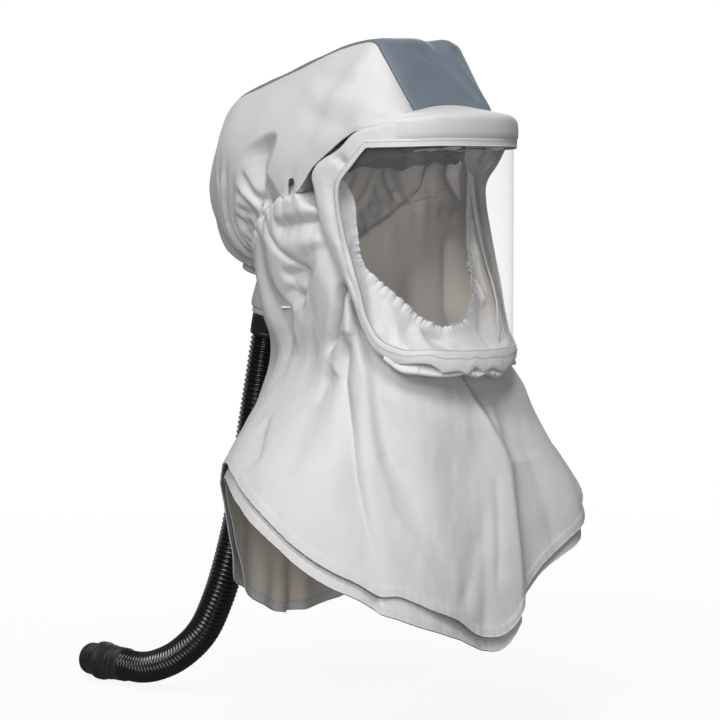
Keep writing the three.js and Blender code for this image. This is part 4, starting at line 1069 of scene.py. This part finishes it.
Nf = normals_of(ringf, True)
rr = frame_at(k_f)
span = np.hypot(rr[:, 2] - rr[:, 0], rr[:, 3] + 1.5 * (1 - ramp(0.22, 0.30, k_f)) - rr[:, 1])
span_ring = np.concatenate([span, span[::-1][1:-1]])
pth, nor = [], []
for i in range(len(ringf)):
    k = np.interp(4.4 / span_ring[i], t_f, np.arange(len(t_f)))
    j = int(min(len(t_f) - 2, math.floor(k)))
    f = k - j
    pth.append(ringf[i, j] * (1 - f) + ringf[i, j + 1] * f)
    nor.append(Nf[i, j])
pth, nor = np.array(pth), np.array(nor)
cen = pth.copy()
cen[:, 0], cen[:, 1] = 0, -40
nor = outward(pth, nor, cen)
st = stitches("frame_stitch", np.concatenate([pth, pth[:1]]) + np.concatenate([nor, nor[:1]]) * 0.75, np.concatenate([nor, nor[:1]]), 2.6, 1.7, 0.45, 0.22)
dress(st, M_THREAD)
st = stitches("frame_stitch_back", np.concatenate([pth, pth[:1]]) - np.concatenate([nor, nor[:1]]) * 0.75, -np.concatenate([nor, nor[:1]]), 2.6, 1.7, 0.5, 0.2)
dress(st, M_THREAD)

# ------------------------------------------------------------------ visor film
zs = np.linspace(24, -166, 48)
kk = np.linspace(0.12, 0.97, 600)
fr = frame_at(kk)
zmid, wmid = (fr[:, 1] + fr[:, 3]) / 2, (fr[:, 0] + fr[:, 2]) / 2
reach = np.array([min(148.0, np.min(wmid[np.abs(zmid - z) < 2.0]) if np.any(np.abs(zmid - z) < 2.0) else 148.0) for z in zs])
Wq = np.linspace(-1, 1, 97)
FILM = on_plan(Wq[:, None] * reach[None], zs[None] + 0 * Wq[:, None], -0.1 + 0 * Wq[:, None])
film = shell("visor_film_clear", FILM, 0.8, closed=False)
dress(film, M_FILM, "visor_film")

# ------------------------------------------------------------------ chin roll
ROLL_LOW = np.array([  # distance round, height of the roll's lower edge
    [-94, -171], [-88, -176], [-80, -181.5], [-63, -184.5], [-45, -186.6], [-32, -186.4], [-19, -185.2], [-5, -188.4], [2.5, -186], [12, -187.6], [21, -189.4],
    [35, -184], [47, -179.5], [60, -181], [75, -179], [90, -171]], float)
ROLL = np.array([[0, -2.8], [0.35, -0.6], [0.62, 1.4], [0.84, 2.8], [0.96, 2.4], [1.0, 0.6], [0.97, -2.2], [0.8, -5.5]], float)  # share of the drop, stand-off
w_r = np.linspace(-93, 89, 281)
j_r = np.linspace(0, 1, 26)
Rr = through(np.linspace(0, 1, len(ROLL)), ROLL, j_r)
low_r = through(ROLL_LOW[:, 0], ROLL_LOW[:, 1], w_r)
top_r = np.minimum(-167 + 0.0006 * w_r ** 2, low_r + 12)
zz = top_r[:, None] + (low_r - top_r)[:, None] * Rr[None, :, 0]
belly = np.sin(math.pi * np.clip(Rr[:, 0], 0, 1))[None] ** 0.6 * (1 - ramp(78, 92, np.abs(w_r)))[:, None]
oo = Rr[None, :, 1] + belly * (1.3 * noise(np.stack([w_r * 0.11, 0 * w_r, 0 * w_r], -1), 91) + 0.6 * noise(np.stack([w_r * 0.32, 0 * w_r, 0 * w_r], -1), 92))[:, None]
oo = oo + belly * (1.6 * np.exp(-((w_r + 9) / 5.0) ** 2) + 2.0 * np.exp(-((w_r - 17) / 7.0) ** 2) + 1.2 * np.exp(-((w_r + 64) / 12.0) ** 2))[:, None]
oo = oo - 1.9 * belly * ramp(35, 85, w_r)[:, None]
ROLLG = on_plan(w_r[:, None] + 0 * zz, zz, oo)
roll = shell("chin_roll_cloth", ROLLG, 1.0, closed=False)
dress(roll, M_FRAME_PAINTED_LIGHT, "chin_roll")

# ------------------------------------------------------------------ face seal
SEAL_FOLDS = [  # line of (distance round, distance from the face), depth, width before, width after, softness
    ([(158, 5), (176, 11), (186, 20), (194, 34)], 6, 9, 2.5, 0.7), ([(118, 3), (127, 13), (140, 21), (152, 34)], -4, 3, 8, 0.6),
    ([(152, 5), (164, 18), (173, 34)], -3, 5, 3, 0.6), ([(262, 12), (236, 16), (220, 18), (209, 34)], 5, 2.5, 8, 0.7),
    ([(276, 2), (268, 8), (258, 16)], -4, 3, 3, 0.5), ([(96, 3), (108, 14), (126, 34)], 3, 6, 4, 0.8),
    ([(300, 4), (292, 14), (276, 32)], -3, 4, 6, 0.7), ([(320, 4), (322, 10), (318, 20)], -2, 4, 4, 0.7), ([(60, 3), (64, 10), (76, 20)], -2, 4, 4, 0.7)]
SEAL_RUN = running(SEAL[:, :3])
half_n = 190
k_s = SEAL_RUN[-1] * (1 - np.abs(np.linspace(-1, 1, 2 * half_n + 1)))
side_s = np.where(np.arange(2 * half_n + 1) < half_n, -1.0, 1.0)
rs = through(SEAL_RUN, SEAL, k_s)
low_s = ramp(-100, -150, rs[:, 4])
held = on_plan(side_s * (rs[:, 3] + 11 * (1 - low_s) + 3 * low_s), rs[:, 4] - 9 * low_s, -2.6 + 0 * k_s)
face = np.stack([side_s * rs[:, 0], rs[:, 1], rs[:, 2]], -1)
t_s = np.concatenate([np.linspace(0, 0.3, 22), np.linspace(0.3, 1, 34)[1:]])
SE = face[:, None] * (1 - t_s)[None, :, None] + held[:, None] * t_s[None, :, None]
sag = rs[:, 5][:, None] * 4 * t_s[None] * (1 - t_s[None])
SE[..., 2] -= sag
SE[..., 1] += sag * 0.5
run_s = np.concatenate([[0], np.cumsum(np.linalg.norm(np.diff(face, axis=0), axis=1))])
len_s = np.linalg.norm(held - face, axis=1)
mm_s = t_s[None] * len_s[:, None]
Ns = normals_of(SE, False)
RS = run_s[:, None] + 0 * mm_s
# the elastic edge is crinkled finely and unevenly, most of all under the chin
chin = ramp(-60, -105, SE[..., 2])
gath = np.exp(-mm_s / 3.4) * (0.25 + 0.75 * chin)
fine = noise(np.stack([RS * 0.34, mm_s * 0.05, 0 * RS], -1), 81) + 0.8 * noise(np.stack([RS * 0.75, mm_s * 0.12, 0 * RS], -1), 83)
d1 = 2.0 * gath * fine + 0.9 * np.exp(-mm_s / 12.0) * chin * noise(np.stack([RS * 0.20, mm_s * 0.02, 0 * RS], -1), 84)
# longer slack folds running from the gathered edge out to the frame
d2 = 2.0 * noise(np.stack([RS * 0.05, mm_s * 0.012, 0 * RS], -1), 82)
for pts, depth, left, right, soft in SEAL_FOLDS:
    d2 = d2 + depth * fold(RS, -mm_s, [(a, -b) for a, b in pts], left, right, soft, 1, 0.3)
d2 = d2 * ramp(3, 12, mm_s) * (1 - ramp(0.86, 1, t_s)[None])
SE = SE + Ns * (d1 + d2)[..., None]
seal = shell("face_seal_cloth", SE, 0.9, closed=False)
dress(seal, M_SEAL, "face_seal")

# ------------------------------------------------------------------ headband, tabs, tag
HB = dict(half=78.0, depth=98.0, cy=2.0, height=34.0, front=18.0, tilt=0.06)
a_h = np.arange(200) / 200 * 2 * math.pi
sec = []
for k in range(28):
    a = k / 28 * 2 * math.pi
    ca, sa = math.cos(a), math.sin(a)
    sec.append((math.copysign(abs(ca) ** 0.7, ca) * 1.5, math.copysign(abs(sa) ** 0.75, sa) * 0.5))
sec = np.array(sec)
grow = 0.9 + sec[:, 0][None, :] + 0.25 * np.sin(a_h * 60)[:, None] * np.sign(sec[:, 0])[None, :]
yb = HB["cy"] - (HB["depth"] + grow) * np.cos(a_h)[:, None]
xb = (HB["half"] + grow) * np.sin(a_h)[:, None]
zb = HB["front"] - HB["tilt"] * (HB["cy"] - HB["depth"] * np.cos(a_h)[:, None] + HB["depth"] - HB["cy"]) + sec[:, 1][None, :] * HB["height"]
zb = zb + np.clip(-sec[:, 1] * 2, 0, 1)[None] * (2.2 * np.sin(a_h * 9 + 0.7) + 1.2 * np.sin(a_h * 23))[:, None]
HBG = np.stack([xb, yb, zb], -1)
n, m = HBG.shape[:2]
I, J = np.meshgrid(np.arange(n), np.arange(m), indexing="ij")
Fh = np.stack([(I * m + J).ravel(), (((I + 1) % n) * m + J).ravel(), (((I + 1) % n) * m + (J + 1) % m).ravel(), (I * m + (J + 1) % m).ravel()], -1)
uvh = np.stack([np.stack([(I * 2.8).ravel(), (J * 2.5).ravel()], -1), np.stack([((I + 1) * 2.8).ravel(), (J * 2.5).ravel()], -1), np.stack([((I + 1) * 2.8).ravel(), ((J + 1) * 2.5).ravel()], -1), np.stack([(I * 2.8).ravel(), ((J + 1) * 2.5).ravel()], -1)], 1)
band = link("headband_padded", HBG.reshape(-1, 3), Fh, uvh)
dress(band, M_BAND, "headband")


def hanger(side):
    """Bent pale strip from the headband's front to the brow."""
    ys = np.linspace(-96.2, -135.0, 24)
    xs = np.linspace(-9, 9, 11)
    Y, Xx = np.meshgrid(ys, xs, indexing="ij")
    f = (ys[0] - Y) / (ys[0] - ys[-1])
    Z = 8.0 + 1.6 * np.sin(f * math.pi) - 1.2 * (Xx / 9) ** 2 + 2.5 * ramp(0.8, 1, f)
    narrow = 1 - 0.25 * np.sin(f * math.pi)
    G_ = np.stack([side * 27 + Xx * narrow, Y, Z], -1)
    o = shell("hanger_tab_%s_strip" % ("left" if side > 0 else "right"), G_, 1.4)
    dress(o, M_TAB, "hanger_tab_%s" % ("left" if side > 0 else "right"))


hanger(-1)
hanger(1)
bt, zt = np.array([-114.0]), np.array([-130.0])
r0 = cape_radius(bt, zt)
rt = float((r0 + cape_folds(bt, zt, r0) + 1.3)[0]) + 2.4
cx, cy = rt * math.sin(-114 * RAD), AXIS_Y - rt * math.cos(-114 * RAD)
aa = (-114 + 32) * RAD
us, vs = np.linspace(-4.8, 4.8, 14), np.linspace(-0.9, 0.9, 7)
Uu, Vv2 = np.meshgrid(us, vs, indexing="ij")
curl = 0.5 * np.sin(Uu * 0.5)
TG = np.stack([cx + Uu * math.cos(aa) - curl * math.sin(aa), cy + Uu * math.sin(aa) + curl * math.cos(aa), -130 + Vv2], -1)
tag = shell("seam_tag_tape", TG, 0.5)
dress(tag, M_TAG, "seam_tag")

# ------------------------------------------------------------------ floor, light
fl = bpy.data.meshes.new("floor")
R = 2.2
ring = [(R * math.cos(k / 96 * 2 * math.pi), R * math.sin(k / 96 * 2 * math.pi), 0) for k in range(96)]
fl.from_pydata(ring, [], [tuple(range(96))])
floor = bpy.data.objects.new("floor", fl)
floor.location = (0, 0, FLOOR_Z * MM)
scene.collection.objects.link(floor)
mf, ntf, bf = nodes_of("floor_pale")
bf.inputs["Base Color"].default_value = (0.84, 0.84, 0.84, 1)
bf.inputs["Roughness"].default_value = 0.9
bf.inputs["Specular IOR Level"].default_value = 0.1
bf.inputs["Emission Color"].default_value = (1, 1, 1, 1)
bf.inputs["Emission Strength"].default_value = 0.05
# the pale floor thins out into the white surround
tcf = ntf.nodes.new("ShaderNodeTexCoord")
lenf = ntf.nodes.new("ShaderNodeVectorMath")
lenf.operation = "LENGTH"
ntf.links.new(tcf.outputs["Object"], lenf.inputs[0])
fade = math_node(ntf, "SUBTRACT", 1.0, math_node(ntf, "DIVIDE", math_node(ntf, "SUBTRACT", lenf.outputs["Value"], 0.35), 1.6, True), True)
fade = math_node(ntf, "MULTIPLY", math_node(ntf, "POWER", fade, 1.6), 0.10)
ntf.links.new(fade, bf.inputs["Alpha"])
fl.materials.append(mf)

world = bpy.data.worlds.new("studio")
scene.world = world
world.use_nodes = True
wt = world.node_tree
wt.nodes.clear()
wo = wt.nodes.new("ShaderNodeOutputWorld")
bg1 = wt.nodes.new("ShaderNodeBackground")
bg1.inputs[0].default_value = (1, 1, 1, 1)
bg1.inputs[1].default_value = 0.14
bg2 = wt.nodes.new("ShaderNodeBackground")
bg2.inputs[0].default_value = (1, 1, 1, 1)
bg2.inputs[1].default_value = 1.0
lp = wt.nodes.new("ShaderNodeLightPath")
mx = wt.nodes.new("ShaderNodeMixShader")
wt.links.new(lp.outputs["Is Camera Ray"], mx.inputs[0])
wt.links.new(bg1.outputs[0], mx.inputs[1])
wt.links.new(bg2.outputs[0], mx.inputs[2])
wt.links.new(mx.outputs[0], wo.inputs[0])


def area_light(name, where, target, size, power, colour=(1, 1, 1)):
    d = bpy.data.lights.new(name, "AREA")
    d.shape = "RECTANGLE"
    d.size, d.size_y = size
    d.energy = power
    d.color = colour
    o = bpy.data.objects.new(name, d)
    o.location = where
    o.rotation_mode = "QUATERNION"
    o.rotation_quaternion = (Vector(target) - Vector(where)).to_track_quat("-Z", "Y")
    scene.collection.objects.link(o)
    return o


def studio_light(name, azimuth, elevation, size, power):
    """Soft box 2.6 m from the hood: azimuth right of the camera, elevation above it."""
    a, e = azimuth * RAD, elevation * RAD
    right, back = Vector((HALF, -HALF, 0)), Vector((-HALF, -HALF, 0))
    aim = Vector((0, -0.05, -0.15))
    d = math.cos(e) * (math.sin(a) * right + math.cos(a) * back) + math.sin(e) * Vector((0, 0, 1))
    return area_light(name, aim + 2.6 * d, aim, (size, size), power)


studio_light("key", 0, 57, 0.9, 38)
studio_light("left", -24, 30, 0.9, 31)
studio_light("front", 12, 2, 1.0, 12)
studio_light("rear_left", 165, 25, 1.4, 11)
studio_light("rear_right", -140, 25, 1.4, 5)

scene.view_settings.view_transform = "Standard"
scene.view_settings.look = "None"
